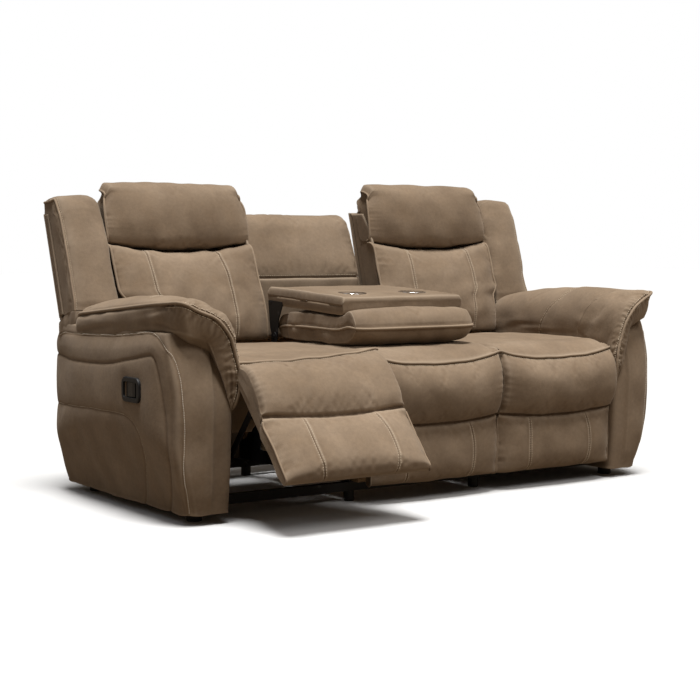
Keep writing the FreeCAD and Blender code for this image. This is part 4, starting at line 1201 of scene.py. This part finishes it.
def close_rows(P, d=.0):
    md = (P + P[:, (-np.arange(P.shape[1])) % P.shape[1]]) / 2
    a, b = [], []
    for t in (90, 45):
        c = math.cos(math.radians(t))
        a.append(md[0] + (P[0] - md[0]) * c)
        b.append(md[-1] + (P[-1] - md[-1]) * c)
    P = np.concatenate([np.array(a), P, np.array(b[::-1])])
    P[0, :, 0] -= d
    P[-1, :, 0] += d
    return P


def outside_back(side):
    mv = None if side == "right" else left_back
    body = side + "_back"

    def section(x):
        zb = .312 + .166 * sm(x, .7775, .7785) + .132 * sm(x, .7985, .7995)
        y = rear_line(zb)
        e = min(x - .264, 1.0035 - x)
        cr = .007 * sm(e, 0, .06) * (1 - .35 * math.exp(-((x - .634) / .012) ** 2))
        z = np.linspace(zb, .984, 60)
        yr = rear_line(z) + .010 * np.exp(-((x - .264) / .018) ** 2) * sm(z, .55, .62) + cr * sm(z, zb, zb + .05) * sm(-z, -.984, -.93) + .0014 * math.sin(x * 31) * np.sin(z * 19)
        Bq = np.vstack([[(y - .006, zb)], np.column_stack([yr, z]), [(rear_line(.984) - .006, .9865)]])
        Fq = np.vstack([[(y - .006, zb)], np.column_stack([rear_line(z) - .0122, z]), [(rear_line(.984) - .006, .9865)]])
        return even(Fq, 62), even(Bq, 62)
    xs = np.unique(np.r_[np.linspace(.264, 1.0035, 90), .7775, .778, .7785, .7985, .799, .7995])
    G = close_rows(slab_rows(xs, section), .0005)
    if mv:
        G = mv(G)
    o = grid_object(side + "_outside_back", G, M_FAB[5])
    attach(o, body)
    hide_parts(side + "_back_shell")
    # borders on both sides of the frame
    def border(x0, x1, zlo, zhi, yfront, yrear, nm, mat):
        zs = np.linspace(zlo, zhi, 70)
        R = []
        for z in zs:
            a, b = yfront(z), yrear(z)
            r = .004
            out = [(x0 + r, a), (x0 + .001, a + .0015), (x0, a + r), (x0, (a + b) / 2), (x0, b - r), (x0 + .001, b - .001), (x0 + r, b)]
            inn = [(x0 + r, a), (x1 - r, a), (x1 - .001, a + .0015), (x1, a + r), (x1, (a + b) / 2), (x1, b - r), (x1 - .001, b - .001), (x1 - r, b), (x0 + r, b)]
            Fq, Bq = even(np.array(out), 26), even(np.array(inn), 26)
            ring = np.vstack([Fq, Bq[::-1][1:-1]])
            R.append(np.column_stack([ring, np.full(len(ring), z)]))
        P = np.array(R)
        md = (P + P[:, (-np.arange(P.shape[1])) % P.shape[1]]) / 2
        P = np.concatenate([md[:1], P, md[-1:]])
        if mv:
            P = mv(P)
        q = grid_object(nm, P, mat)
        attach(q, body)

    def pipe_y(z):
        return np.interp(z, [.53, .60, .717, .80, .871, .93, .98], [.172, .178, .221, .243, .262, .292, .330])
    border(.2640, .2735, .515, .982, lambda z: pipe_y(z) + .014, lambda z: rear_line(z) + .008 * sm(z, .55, .62), side + "_inner_border", M_FAB[2])
    border(1.0045, .9815, .626, .984, lambda z: rear_line(z) - .0375, lambda z: rear_line(z) - .010, side + "_outer_border", M_FAB[0])
    pp = Parts()
    for x, z0 in ((.266, .53), (1.0015, .62)):
        z = np.linspace(z0, .984, 60)
        P = np.column_stack([np.full(60, x), rear_line(z) - .003 + (.010 * sm(z, .55, .62) if x < .5 else 0), z])
        N = np.tile(np.array([[-.7 if x < .5 else .7, .7, 0]]), (60, 1))
        pp.tube(P, N, r=.0036, lift=.001)
    pp.object(side + "_outside_back_piping", body, M_PIPE, mv)


outside_back("right")
outside_back("left")

# --- arms ------------------------------------------------------------------
SEAM1 = [(.372, .545), (.294, .558), (.162, .559), (.016, .563), (-.111, .568), (-.226, .578), (-.325, .585), (-.385, .578), (-.425, .553), (-.456, .515),
         (-.475, .446), (-.483, .36), (-.484, .27), (-.480, .181), (-.470, .10), (-.457, .034)]
SEAM2 = [(.428, .484), (.408, .483), (.266, .474), (.143, .472), (.018, .474), (-.094, .481), (-.233, .501), (-.345, .5185), (-.372, .519), (-.390, .505),
         (-.404, .475), (-.416, .434), (-.425, .389), (-.438, .30), (-.437, .22), (-.42, .15), (-.392, .09), (-.352, .034)]
SEAM3 = [(.432, .306), (.388, .309), (.197, .315), (.069, .321), (-.048, .323), (-.158, .323), (-.215, .315), (-.252, .293), (-.272, .261), (-.270, .215),
         (-.250, .15), (-.222, .09), (-.186, .034)]


def arm_curve(yz, push=0.):
    """A seam on the outer face, from (y, z) points."""
    D = even(dense(yz), 160)
    y, z = D[:, 0], D[:, 1]
    yf = np.interp(z, _yf[:, 0], _yf[:, 1])
    x = arm_x(y, z) - .010 * sm(-(y - yf), -.028, 0)
    return np.column_stack([x + push, y, z])


C1, C2, C3 = arm_curve(SEAM1), arm_curve(SEAM2), arm_curve(SEAM3)


def dist_to(G, C):
    from mathutils.kdtree import KDTree
    D = even(C, 600)
    kd = KDTree(len(D))
    for i, p in enumerate(D):
        kd.insert(p, i)
    kd.balance()
    sh = G.shape[:-1]
    return np.array([kd.find(p)[2] for p in G.reshape(-1, 3)]).reshape(sh)


s = arm.final(dx=.0042, df=.0042, db=.016, cap_rows=2)
d1, d2, d3 = dist_to(s.G, C1), dist_to(s.G, C2), dist_to(s.G, C3)
dm = np.minimum(np.minimum(d1, d2), d3)
outer = (s.W < 1) * sm(s.G[..., 0], .86, .90) * (np.abs(s.R) <= 1.001)
y, z = s.G[..., 1], s.G[..., 2]
# the strip between the first two seams and the border panel stand proud of the rest
d = .0045 * (1 - np.exp(-dm / .022)) * outer
d -= (.0030 * np.exp(-(d2 / .0040) ** 2) + .0018 * np.exp(-(d1 / .0035) ** 2) + .0012 * np.exp(-(d3 / .0035) ** 2)) * outer
hy, hz = -.247, .407
dh = np.sqrt((np.maximum(np.abs(y - hy) - .040, 0)) ** 2 + (np.maximum(np.abs(z - hz) - .018, 0)) ** 2)
flat = np.exp(-(dh / .045) ** 2) * outer
d = d * (1 - flat)
frontm = (s.W < 1) * sm(-y, .44, .47) * sm(s.G[..., 0] * 1., .806, .83) * (1 - sm(s.G[..., 0], .95, .985))
d += .005 * frontm * sm(z, .04, .10) * sm(-z, -.60, -.52)
d += relief(s, .0011, .14, .0004, .035, 31) * (1 - flat)
# hem gathers near the floor
d += .0008 * (puckers(y + 1, 77, .04) - .4) * np.exp(-(z - .033) / .03) * outer
s.push(d)
# keep the cover behind the handle plate, and out of its recess
s.G[..., 0] = np.where((dh < .030) & (s.W < 1) & (s.G[..., 0] > .95), np.minimum(s.G[..., 0], 1.0305), s.G[..., 0])
pan = (s.W < 1) & (s.G[..., 0] > .95) & (np.abs(y - HANDLE[0]) < HANDLE[2]) & (np.abs(z - HANDLE[1]) < HANDLE[3])
s.G[..., 0] = np.where(pan, .975, s.G[..., 0])
arm_fine = s
armG = s.G.copy()

for side in ("right", "left"):
    mv = None if side == "right" else mirror_x
    s.G = armG
    s.mesh(side + "_arm_panel", "base", M_FAB[0 if side == "right" else 2], [side + "_arm_cover"], .3, mv)
    bv = bvh_of(armG)
    st = Parts()
    outw = np.tile(np.array([[1., -.25, 0]]), (160, 1))
    P, N = snap(bv, C1, outw)
    st.stitches(P, N, r=.0012, length=.0056, pitch=.0070, seed=5, side=.0030, lift=.0008)
    P3, N3 = snap(bv, C3, outw)
    st.object(side + "_arm_stitching", "base", M_THREAD2, mv)
    st = Parts()
    st.stitches(P3, N3, r=.0007, length=.0056, pitch=.0080, seed=6, side=.0022)
    st.object(side + "_arm_fine_stitching", "base", M_THREAD, mv)
    pp = Parts()
    pp.tube(P, N, r=.0026, lift=-.0008, seed=4, wear_and_shade=.05, step=.006)
    P2, N2 = snap(bv, C2, outw)
    pp.object(side + "_arm_seams", "base", M_PIPE, mv)


# arm pad
def arm_pad(side):
    mv = None if side == "right" else mirror_x
    sd = 200 if side == "right" else 260
    s = apad
    s.final(dx=.0048, df=.0046, db=.0052, cap_rows=4)
    G = s.G
    # distance from the piping, in metres, along the section, on both sides of column 0
    seg = np.linalg.norm(np.diff(np.concatenate([G, G[:, :1]], 1), axis=1), axis=-1)
    cum = np.cumsum(np.concatenate([np.zeros((len(G), 1)), seg], 1), 1)
    dist = np.minimum(cum[:, :-1], cum[:, -1:] - cum[:, :-1])
    onband = (cum[:, -1:] - cum[:, :-1]) < cum[:, :-1]
    t = np.r_[0, np.cumsum(np.linalg.norm(np.diff(G[:, 0], axis=0), axis=1))]
    h = (s.R + 1) / 2
    fr = sm(h, .50, .66) * sm(-h, -1.0, -.93)
    tt = np.repeat(t[:, None], G.shape[1], 1) + .10 * dist                      # the folds run a little aslant
    wob = .004 * np.sin(dist * 90 + tt * 25)
    g1 = puckers((tt + wob).ravel(), sd, .0155).reshape(tt.shape) - .42
    g2 = puckers((tt - wob * 1.5).ravel(), sd + 1, .021).reshape(tt.shape) - .42
    d = .0066 * g1 * np.exp(-dist / .023) * fr * sm(dist, 0., .005)
    d += np.where(onband, .0050, .0018) * g2 * np.exp(-((dist - .024) / .024) ** 2) * fr
    # a few long soft folds on the tip and along the side band
    d += .0010 * waves(G, .085, sd + 3) * sm(h, .40, .55) * (dist > 0)
    d += .0010 * waves(G, .13, sd + 4)
    d += .0005 * (puckers(t, sd + 6, .05)[:, None] - .4) * np.exp(-dist / .018) * (1 - fr)
    # groove beside the piping
    d -= .0022 * np.exp(-((dist - .0065) / .004) ** 2)
    d *= sm(dist, 0, .003)
    # topstitched seam that crosses the pad
    s.push(d)
    ys = np.interp(G[..., 2], [.40, .50, .55, .61, .66, .69, .72], [-.098, -.098, -.102, -.135, -.175, -.205, -.23])
    dd = np.abs(G[..., 1] - ys)
    top = (~onband) & (G[..., 0] < .955)
    s.push(-(.0012 * np.exp(-(dd / .0032) ** 2) + .0010 * np.exp(-(dd / .012) ** 2)) * top)
    s.mesh(side + "_arm_pad_cover", "base", M_FAB[2 if side == "right" else 5], [side + "_arm_pad"], .75, mv)
    G, N = s.G, s.N
    pp = Parts()
    i0, i1 = s.row(-1.), s.row(1.)
    pp.tube(G[i0:i1 + 1, 0], N[i0:i1 + 1, 0], r=.0048, lift=.0022, seed=sd, wear_and_shade=.45, vary=.08)
    pp.object(side + "_arm_pad_piping", "base", M_PIPE, mv)
    st = Parts()
    hrow = (s.r + 1) / 2
    rows = [i for i in range(len(s.r)) if .56 < hrow[i] < .985]
    for sgn, tgt in ((1, .0115), (-1, .0115)):
        P, Nn = [], []
        for i in rows:
            dcol = dist[i].copy()
            dcol[onband[i] if sgn > 0 else ~onband[i]] = 9
            j = int(np.argmin(np.abs(dcol - tgt)))
            P.append(G[i, j])
            Nn.append(N[i, j])
        P, Nn = np.array(P), np.array(Nn)
        st.stitches(P, Nn, r=.0013, length=.0058, pitch=.0082, lift=.0007, seed=sd + sgn)
    # the seam across the pad: two rows
    bv = bvh_of(G)
    zz = np.array([.43, .46, .50, .55, .61, .645, .668, .684, .692, .694])
    xx = np.array([.807, .807, .807, .8065, .808, .815, .835, .868, .905, .955])
    yy = np.interp(zz, [.40, .50, .55, .61, .66, .69, .72], [-.098, -.098, -.102, -.135, -.175, -.205, -.23])
    yy[-2:] = (-.222, -.246)
    C = even(dense(np.column_stack([xx, yy, zz])), 110)
    P, Nn = snap(bv, C, np.tile(np.array([[-.6, 0, .8]]), (110, 1)))
    for off in (-.0045, .0045):
        st.stitches(P, Nn, seed=sd + 9, side=off)
    st.object(side + "_arm_pad_stitching", "base", M_THREAD, mv)


arm_pad("right")
arm_pad("left")

# --- the wings stand on a fixed padded foot on each arm ----------------------
def wing_foot(side):
    y0, y1 = (.2045, .345) if side == "right" else (.2245, .360)
    x0, x1, r = .834, 1.0035, .012
    c = [(x0 + .05, y0), (x1 - r, y0), (x1 - r * .3, y0 + r * .3), (x1, y0 + r), (x1, y1 - r), (x1 - r * .3, y1 - r * .3), (x1 - r, y1),
         (x0 + r, y1), (x0 + r * .3, y1 - r * .3), (x0, y1 - r), (x0, y0 + r), (x0 + r * .3, y0 + r * .3), (x0 + r, y0)]
    ring = even(np.vstack([dense(np.array(c), True), [c[0]]]), 120)[:-1]
    R = []
    for h in np.linspace(0, 1, 22):
        z0 = .560
        z1 = arc_z(ring[:, 1], .2348)
        R.append(np.column_stack([ring, z0 + (z1 - z0) * h]))
    P = np.array(R)
    md = P * np.array([.0, .0, 1]) + np.array([(x0 + x1) / 2, (y0 + y1) / 2, 0])
    P = np.concatenate([(P[:1] * .02 + md[:1] * .98), P[:1] * .96 + md[:1] * .04, P, P[-1:] * .96 + md[-1:] * .04, (P[-1:] * .02 + md[-1:] * .98)])
    P += normals(P) * (.0009 * waves(P, .06, 91))[..., None]
    if side == "left":
        P = mirror_x(P)
    o = grid_object(side + "_wing_foot", P, M_FAB[3 if side == "right" else 0])
    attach(o, "base")


wing_foot("right")
wing_foot("left")


def handle_cup(side):
    """Black bottom of the finger recess behind the lever."""
    y0, y1, z0, z1, xa, xb = -.2975, -.1965, .3765, .4380, .9795, .9835
    V = np.array([(x, y, z) for x in (xa, xb) for y in (y0, y1) for z in (z0, z1)])
    Fc = [[0, 1, 3, 2], [4, 6, 7, 5], [0, 4, 5, 1], [2, 3, 7, 6], [0, 2, 6, 4], [1, 5, 7, 3]]
    if side == "left":
        V = V * np.array([-1, 1, 1])
        Fc = [f[::-1] for f in Fc]
    o = add_object(side + "_handle_cup", V, Fc, M_BEZEL, None, False)
    fix_normals(o)
    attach(o, "base")


handle_cup("right")
handle_cup("left")

# --- seats -----------------------------------------------------------------
for name, s0, mv, m in (("right", seat, None, 3), ("centre", seat_c, None, 1), ("left", seat, mirror_x, 4)):
    s = s0.final(dx=.0065, df=.0065, db=.02, cap_rows=4)
    s.push(relief(s, .0011, .15, .0004, .04, {"right": 41, "centre": 43, "left": 47}[name]))
    s.mesh(name + "_seat_cover", "base", M_FAB[m], [name + "_seat_cushion"], .6, mv)

# --- front pads ------------------------------------------------------------
PAD_SEAMS = [(-.50, lambda w: -.035 * np.sin(np.clip(w / .41, 0, 1) * 3.14) * (w < .42), .0, .395), (.50, lambda w: .035 * np.sin(np.clip(w / .41, 0, 1) * 3.14) * (w < .42), .0, .395)]


FINE = {}


def front_pad(name, key, body, mv, rep, m, sd):
    s = pads[key].final(seams=PAD_SEAMS, extra_cols=(20, 41))
    c = np.repeat(s.c[None, :], len(s.r), 0)
    d = relief(s, .0012, .13, .0004, .03, sd)
    low = (c < 20.5)
    d += s.seam_disp(.0028, .0026) * (c < 19.6)
    L = .0118
    d += -.0040 * np.exp(-((c - 20) / .55) ** 2)                                        # the crease bites in
    dc = np.abs(c - 20) * L
    d += .0012 * (puckers(s.R * s.hw + .3, sd + 1, .030) - .4) * np.exp(-dc / .020) * (s.W < 1) * (np.abs(s.R) <= 1)
    dp = np.abs(c - 41) * L
    d -= .0022 * np.exp(-((dp - .0062) / .0035) ** 2) * (s.W < 1)
    d += .0006 * (puckers(s.R * s.hw + .3, sd + 2, .020) - .4) * np.exp(-dp / .010) * (s.W < 1) * (np.abs(s.R) <= 1)
    d += edge_gathers(s, -1, .0026, .022, sd + 3, .018) + edge_gathers(s, 1, .0026, .022, sd + 4, .018)
    FINE[name] = s
    s.push(d)
    s.mesh(name + "_front_cover", body, M_FAB[m], [rep], .6, mv)
    G, N = s.G, s.N
    st = Parts()
    for q in PAD_SEAMS:
        j0, j1 = np.searchsorted(s.c[:s.nfc], 1.), np.searchsorted(s.c[:s.nfc], 19.2)
        for off in (-.0046, .0046):
            r = s.row(q[0], off)
            st.stitches(G[r, j0:j1], N[r, j0:j1], seed=sd + 5)
    # one row under the piping
    j = s.col(41 - 1.05)
    i0, i1 = s.row(-.985), s.row(.985)
    st.stitches(G[i0:i1, j], N[i0:i1, j], r=.0009, seed=sd + 6)
    st.object(name + "_front_stitching", body, M_THREAD, mv)
    pp = Parts()
    j = s.col(41)
    i0, i1 = s.row(-1.), s.row(1.)
    pp.tube(G[i0:i1 + 1, j], N[i0:i1 + 1, j], r=.0046, lift=.0030, seed=sd, wear_and_shade=.50)
    for e in (-1., 1.):
        r = s.row(e)
        j0, j1 = np.searchsorted(s.c[:s.nfc], .5), np.searchsorted(s.c[:s.nfc], 18.6)
        pp.tube(G[r, j0:j1], unit(N[r, j0:j1] * .8 + np.array([.5 * e, 0, 0])), r=.0032, lift=.0004, seed=sd, wear_and_shade=.25)
    pp.object(name + "_front_piping", body, M_PIPE, mv)


front_pad("right", "side", "right_footrest", None, "right_footrest_pad", 4, 301)
front_pad("left", "left", "left_footrest", left_foot, "left_footrest_pad", 1, 331)
front_pad("centre", "centre", "base", None, "centre_front_pad", 3, 361)


# --- cover that bridges seat and leg rest -----------------------------------
def bridge(side):
    """Cover from the seat top to the piping of the pad in front of it, as the piping runs."""
    s = FINE[side]
    sg = -1 if side == "left" else 1
    i0, i1 = s.row(-1.), s.row(1.)
    C = s.out[i0:i1 + 1, s.col(41)]
    if sg < 0:
        C = C[::-1]
    lo, hi = (-.263, .263) if side == "centre" else (sg * .2745, sg * .8000)
    lo, hi = min(lo, hi), max(lo, hi)
    xs = np.unique(np.r_[np.linspace(lo, hi, 90), lo + np.array([.002, .004, .007, .011]), hi - np.array([.002, .004, .007, .011])])
    k = np.argsort(C[:, 0])
    cy, cz = np.interp(xs, C[k, 0], C[k, 1]), np.interp(xs, C[k, 0], C[k, 2])
    lowmid = FINE[side].ob
    R = []
    t = np.linspace(0, 1, 27)
    for i, x in enumerate(xs):
        e = min(x - lo, hi - x)
        dr = .017 * (1 - min(1., e / .030)) ** 2.2
        pts = [(-.330, .5105), (-.355, .5125), (-.385, .5125)]
        for q in (.3, .55, .78, 1.):
            pts.append((-.385 + (cy[i] + .385) * q, .5125 + (cz[i] + .002 - .5125) * q ** 1.9))
        T = path(pts, 27)
        tan = unit(np.gradient(T, axis=0))
        nrm = np.column_stack([tan[:, 1], -tan[:, 0]])
        if nrm[:, 1].mean() < 0:
            nrm = -nrm
        sway = .0012 * waves(np.column_stack([np.full(27, x), T[:, 0], T[:, 1]]), .10, 71 + sg)
        up = .0016 * np.sin(np.clip(t * 1.02, 0, 1) * np.pi)
        Fq = T + nrm * (sway * np.sin(t * np.pi) + up)[:, None]
        Fq[:, 1] -= dr * sm(t, 0, .35)
        Bq = Fq - nrm * .0045
        Bq[0], Bq[-1] = Fq[0], Fq[-1]
        R.append(np.column_stack([np.full(52, x), np.vstack([Fq, Bq[::-1][1:-1]])]))
    P = close_rows(np.array(R))
    o = grid_object(side + "_seat_bridge", P, FAB_OF[side])
    if side == "centre":
        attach(o, "base")
    else:
        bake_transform(o)


FAB_OF = {"right": M_FAB[3], "left": M_FAB[4], "centre": M_FAB[1]}
bridge("right")
bridge("left")
bridge("centre")


# --- small upholstered drop at the seat box front ---------------------------
def drop(side):
    zs = np.linspace(.268, .402, 26)
    R = []
    for z in zs:
        r = .022 * (1 - sm(z, .268, .300))
        x0, x1 = .657 + r, .757
        out = [(x0 + .003, -.392), (x0 + .001, -.397), (x0 + .005, -.4005), ((x0 + x1) / 2, -.4025), (x1 - .005, -.4005), (x1 - .001, -.397), (x1 - .003, -.392)]
        inn = [(x0 + .003, -.392), (x0 + .005, -.3885), ((x0 + x1) / 2, -.3880), (x1 - .005, -.3885), (x1 - .003, -.392)]
        ring = np.vstack([path(out, 22), path(inn, 22)[::-1][1:-1]])
        R.append(np.column_stack([ring, np.full(len(ring), z)]))
    P = np.array(R)
    md = (P + P[:, (-np.arange(P.shape[1])) % P.shape[1]]) / 2
    P = np.concatenate([md[:1], P, md[-1:]])
    if side == "left":
        P = mirror_x(P)
    o = grid_object(side + "_seat_corner", P, M_FAB[0])
    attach(o, "base")


drop("right")
drop("left")

# --- centre back -----------------------------------------------------------
s = cback.final(extra_cols=(19,))
c = np.repeat(s.c[None, :], len(s.r), 0)
d = relief(s, .0013, .14, .0004, .035, 401)
d += -.0045 * np.exp(-((c - 19) / .5) ** 2) * (s.W < 1)
d += .0012 * (puckers(s.R * s.hw + .3, 402, .03) - .4) * np.exp(-np.abs(c - 19) / 1.5) * (s.W < 1)
s.push(d)
s.mesh("centre_back_cover", "base", M_FAB[1], ["centre_back_panel"], .55)
st = Parts()
j = s.col(19 + .9)
i0, i1 = s.row(-.98), s.row(.98)
st.stitches(s.G[i0:i1, j], s.N[i0:i1, j], seed=3)
st.object("centre_back_stitching", "base", M_THREAD)
pp = Parts()
for e in (-1., 1.):
    r = s.row(e)
    j0 = s.col(3)
    pp.tube(s.G[r, j0:s.nfc], unit(s.N[r, j0:s.nfc] + np.array([.6 * e, 0, 0])), r=.0034, lift=.0006, seed=8, wear_and_shade=.3)
pp.object("centre_back_piping", "base", M_PIPE)

# --- table -----------------------------------------------------------------
s = tray.final(dx=.005, df=.005, db=.012)
G = s.G
top = (s.W > .14) & (s.W < .86)
d = relief(s, .0006, .12, .0003, .03, 421)
endy = sm(np.abs(s.R), .9, 1.)
d += .0014 * (puckers(s.G[..., 1].ravel() + 1, 422, .03).reshape(s.R.shape) - .4) * endy * (s.W < 1.9)
s.push(d)
cups = [(sx * .130, -.160) for sx in (-1, 1)]
G = s.G


def tray_object():
    V, F, inv = weld(G)
    wear_and_shade = np.zeros(len(V))
    wear_and_shade[inv] = (wear_and_crease_shade_of(G, normals(G))).reshape(-1)
    cen = []
    V = V.copy()
    for cx, cy in cups:
        rr = np.hypot(V[:, 0] - cx, V[:, 1] - cy)
        near = np.abs(rr - .0465) < .0026
        f = .0465 / np.maximum(rr, 1e-6)
        V[near, 0] = cx + (V[near, 0] - cx) * f[near]
        V[near, 1] = cy + (V[near, 1] - cy) * f[near]
    keep = []
    for f in F:
        c0 = V[f].mean(0)
        if all(math.hypot(c0[0] - cx, c0[1] - cy) > .0463 for cx, cy in cups):
            keep.append(f)
    V = tip(V)
    o = add_object("table_cover", V, keep, M_FAB[3], wear_and_shade)
    import bmesh
    bm = bmesh.new()
    bm.from_mesh(o.data)
    bmesh.ops.delete(bm, geom=[v for v in bm.verts if not v.link_faces], context="VERTS")
    # joins the upper and lower openings of each cup hole by a wall
    loops = [e for e in bm.edges if e.is_boundary]
    bmesh.ops.bridge_loops(bm, edges=[e for e in loops if all(v.co.x < 0 for v in e.verts)])
    bmesh.ops.bridge_loops(bm, edges=[e for e in loops if e.is_valid and all(v.co.x > 0 for v in e.verts)])
    bmesh.ops.recalc_face_normals(bm, faces=bm.faces)
    bm.to_mesh(o.data)
    bm.free()
    o.data.polygons.foreach_set("use_smooth", np.ones(len(o.data.polygons), bool))
    return o


o = tray_object()
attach(o, "console")
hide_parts("console_tray_cover")

s = pillow.final(dx=.0055, df=.005, db=.0055, cap_rows=12)
d = .0014 * waves(s.G, .12, 431)
tipd = np.minimum(np.abs(s.W - 1), 1.) * .5
endd = np.maximum(0, 1.15 - np.abs(s.R)) / .15 * .06
free = sm(-s.G[..., 1], -.14, -.02)
rim = np.minimum(tipd, endd)
gt = puckers((s.R * s.hw + .5 + s.G[..., 1] * (np.abs(s.R) > .97)).ravel(), 433, .022).reshape(s.R.shape)
d += .0014 * (gt - .42) * np.exp(-rim / .020)
d -= .0020 * np.exp(-((rim - .006) / .004) ** 2)
d += .0018 * waves(s.G * np.array([.5, 1, 1]), .09, 436) * sm(-s.R, .62, .95) * sm(s.G[..., 1], -.30, -.12)
d *= sm(rim, 0, .004)
s.push(d)
s.mesh("table_pillow_cover", "console", M_FAB[4], ["console_pillow"], .8)
G, N = s.G, s.N
pp = Parts()
jf = s.col(s.nf)
i0, i1 = s.row(-1.), s.row(1.)
side_l = [G[0, j] for j in range(6, jf)]
side_r = [G[-1, j] for j in range(6, jf)]
front = [G[i, jf] for i in range(1, len(s.r) - 1)]
P = np.array(side_l + front + side_r[::-1])
cn = P - np.array([0, -.05, P[:, 2].mean()])
cn[:, 2] = 0
pp.tube(P, unit(cn), r=.0044, lift=.0018, seed=12, wear_and_shade=.45, step=.006)
pp.object("table_pillow_piping", "console", M_PIPE)

# --- cloth over the lower rail of the centre back, behind ---------------------
def rear_flap_section(x):
    z = np.linspace(.374, .545, 40)
    y = np.interp(z, [.374, .46, .52, .545], [.428, .431, .4345, .436]) + .0012 * math.sin(x * 23)
    Bq = np.vstack([[(y[0] - .003, z[0])], np.column_stack([y, z]), [(y[-1] - .003, z[-1] + .002)]])
    Fq = np.vstack([[(y[0] - .003, z[0])], np.column_stack([y - .005, z]), [(y[-1] - .003, z[-1] + .002)]])
    return even(Fq, 42), even(Bq, 42)


o = grid_object("centre_rear_flap", close_rows(slab_rows(np.linspace(-.2475, .2475, 60), rear_flap_section), .0004), M_FAB[5])
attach(o, "base")

# --- rear panel of the base --------------------------------------------------
xs = np.linspace(-.804, .804, 150)


def rear_section(x):
    k = .003 * math.sin(x * 9.) + .0012 * math.sin(x * 47)
    bz = np.linspace(.052, .372, 30)
    e = min(1., (.804 - abs(x)) / .03)
    Bq = np.vstack([[(.393, .050)], np.column_stack([.400 + (.003 + k * .5) * np.sin((bz - .052) / .32 * np.pi) * e, bz]), [(.393, .374)]])
    Fq = np.vstack([[(.393, .050)], np.column_stack([np.full(30, .386), bz]), [(.393, .374)]])
    return even(Fq, 34), even(Bq, 34)


o = grid_object("rear_base_cover", close_rows(slab_rows(xs, rear_section), .0004), M_FAB[5])
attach(o, "base")
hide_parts("rear_base_panel")

# ------------------------------------------------------- CAD node materials
for n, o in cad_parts.items():
    if "springs" in n:
        m = M_SPRING
    elif "cup_holders" in n:
        m = M_CHROME
    elif "bezel" in n:
        m = M_BEZEL
    elif "release_lever" in n:
        m = M_LEVER
    elif "cable" in n:
        m = M_CABLE
    elif n == "feet":
        m = M_FOOT
    elif any(k in n for k in ("arm_frame", "seat_frame", "board", "back_frame")):
        m = M_TIMBER
    else:
        m = M_MECH
    o.data.materials.clear()
    o.data.materials.append(m)

# ------------------------------------------------------------ floor, lights
me = bpy.data.meshes.new("floor")
me.from_pydata([(-40, -40, 0), (40, -40, 0), (40, 40, 0), (-40, 40, 0)], [], [(0, 1, 2, 3)])
floor = bpy.data.objects.new("floor", me)
SCN.collection.objects.link(floor)
m, nt, bs = nodes_of("floor_white")
lp = nt.nodes.new("ShaderNodeLightPath")
mx = nt.nodes.new("ShaderNodeMix")
mx.data_type = "RGBA"
mx.inputs[6].default_value = (.17, .135, .10, 1)
mx.inputs[7].default_value = (.64, .645, .65, 1)
nt.links.new(lp.outputs["Is Camera Ray"], mx.inputs[0])
nt.links.new(mx.outputs[2], bs.inputs["Base Color"])
bs.inputs["Roughness"].default_value = .95
bs.inputs["Specular IOR Level"].default_value = .1
me.materials.append(m)

w = bpy.data.worlds.new("studio")
SCN.world = w
w.use_nodes = True
nt = w.node_tree
bg = nt.nodes["Background"]
bg.inputs[0].default_value = (1., .86, .71, 1)
bg.inputs[1].default_value = .125
lp = nt.nodes.new("ShaderNodeLightPath")
bg2 = nt.nodes.new("ShaderNodeBackground")
bg2.inputs[0].default_value = (1, 1, 1, 1)
bg2.inputs[1].default_value = 1.0
mx = nt.nodes.new("ShaderNodeMixShader")
nt.links.new(lp.outputs["Is Camera Ray"], mx.inputs[0])
nt.links.new(bg.outputs[0], mx.inputs[1])
nt.links.new(bg2.outputs[0], mx.inputs[2])
nt.links.new(mx.outputs[0], nt.nodes["World Output"].inputs[0])


sun = bpy.data.lights.new("overhead", "SUN")
sun.energy = 5.0
sun.angle = math.radians(22)
sun.color = (1, .985, .965)
sun_ob = bpy.data.objects.new("overhead", sun)
SCN.collection.objects.link(sun_ob)
sun_ob.rotation_euler = Vector((-.06, -.15, .98)).to_track_quat("Z", "Y").to_euler()
sun_ob.location = (0, 0, 4)



def area(name, loc, target, size, power, col):
    l = bpy.data.lights.new(name, "AREA")
    l.shape = "SQUARE"
    l.size, l.energy, l.color = size, power, col
    o = bpy.data.objects.new(name, l)
    SCN.collection.objects.link(o)
    o.location = loc
    o.rotation_euler = (Vector(loc) - Vector(target)).to_track_quat("Z", "Y").to_euler()


area("front_fill", (.4, -3.5, 3.7), (.1, .2, .6), 2.0, 78, (1, .97, .94))
area("left_fill", (-3.2, .2, 2.6), (-.9, .1, .6), 1.6, 9, (.80, .88, 1.))
SCN.view_settings.view_transform = "Standard"
SCN.view_settings.look = "None"
SCN.view_settings.exposure = 0.
SCN.view_settings.gamma = 1.

bpy.context.view_layer.update()
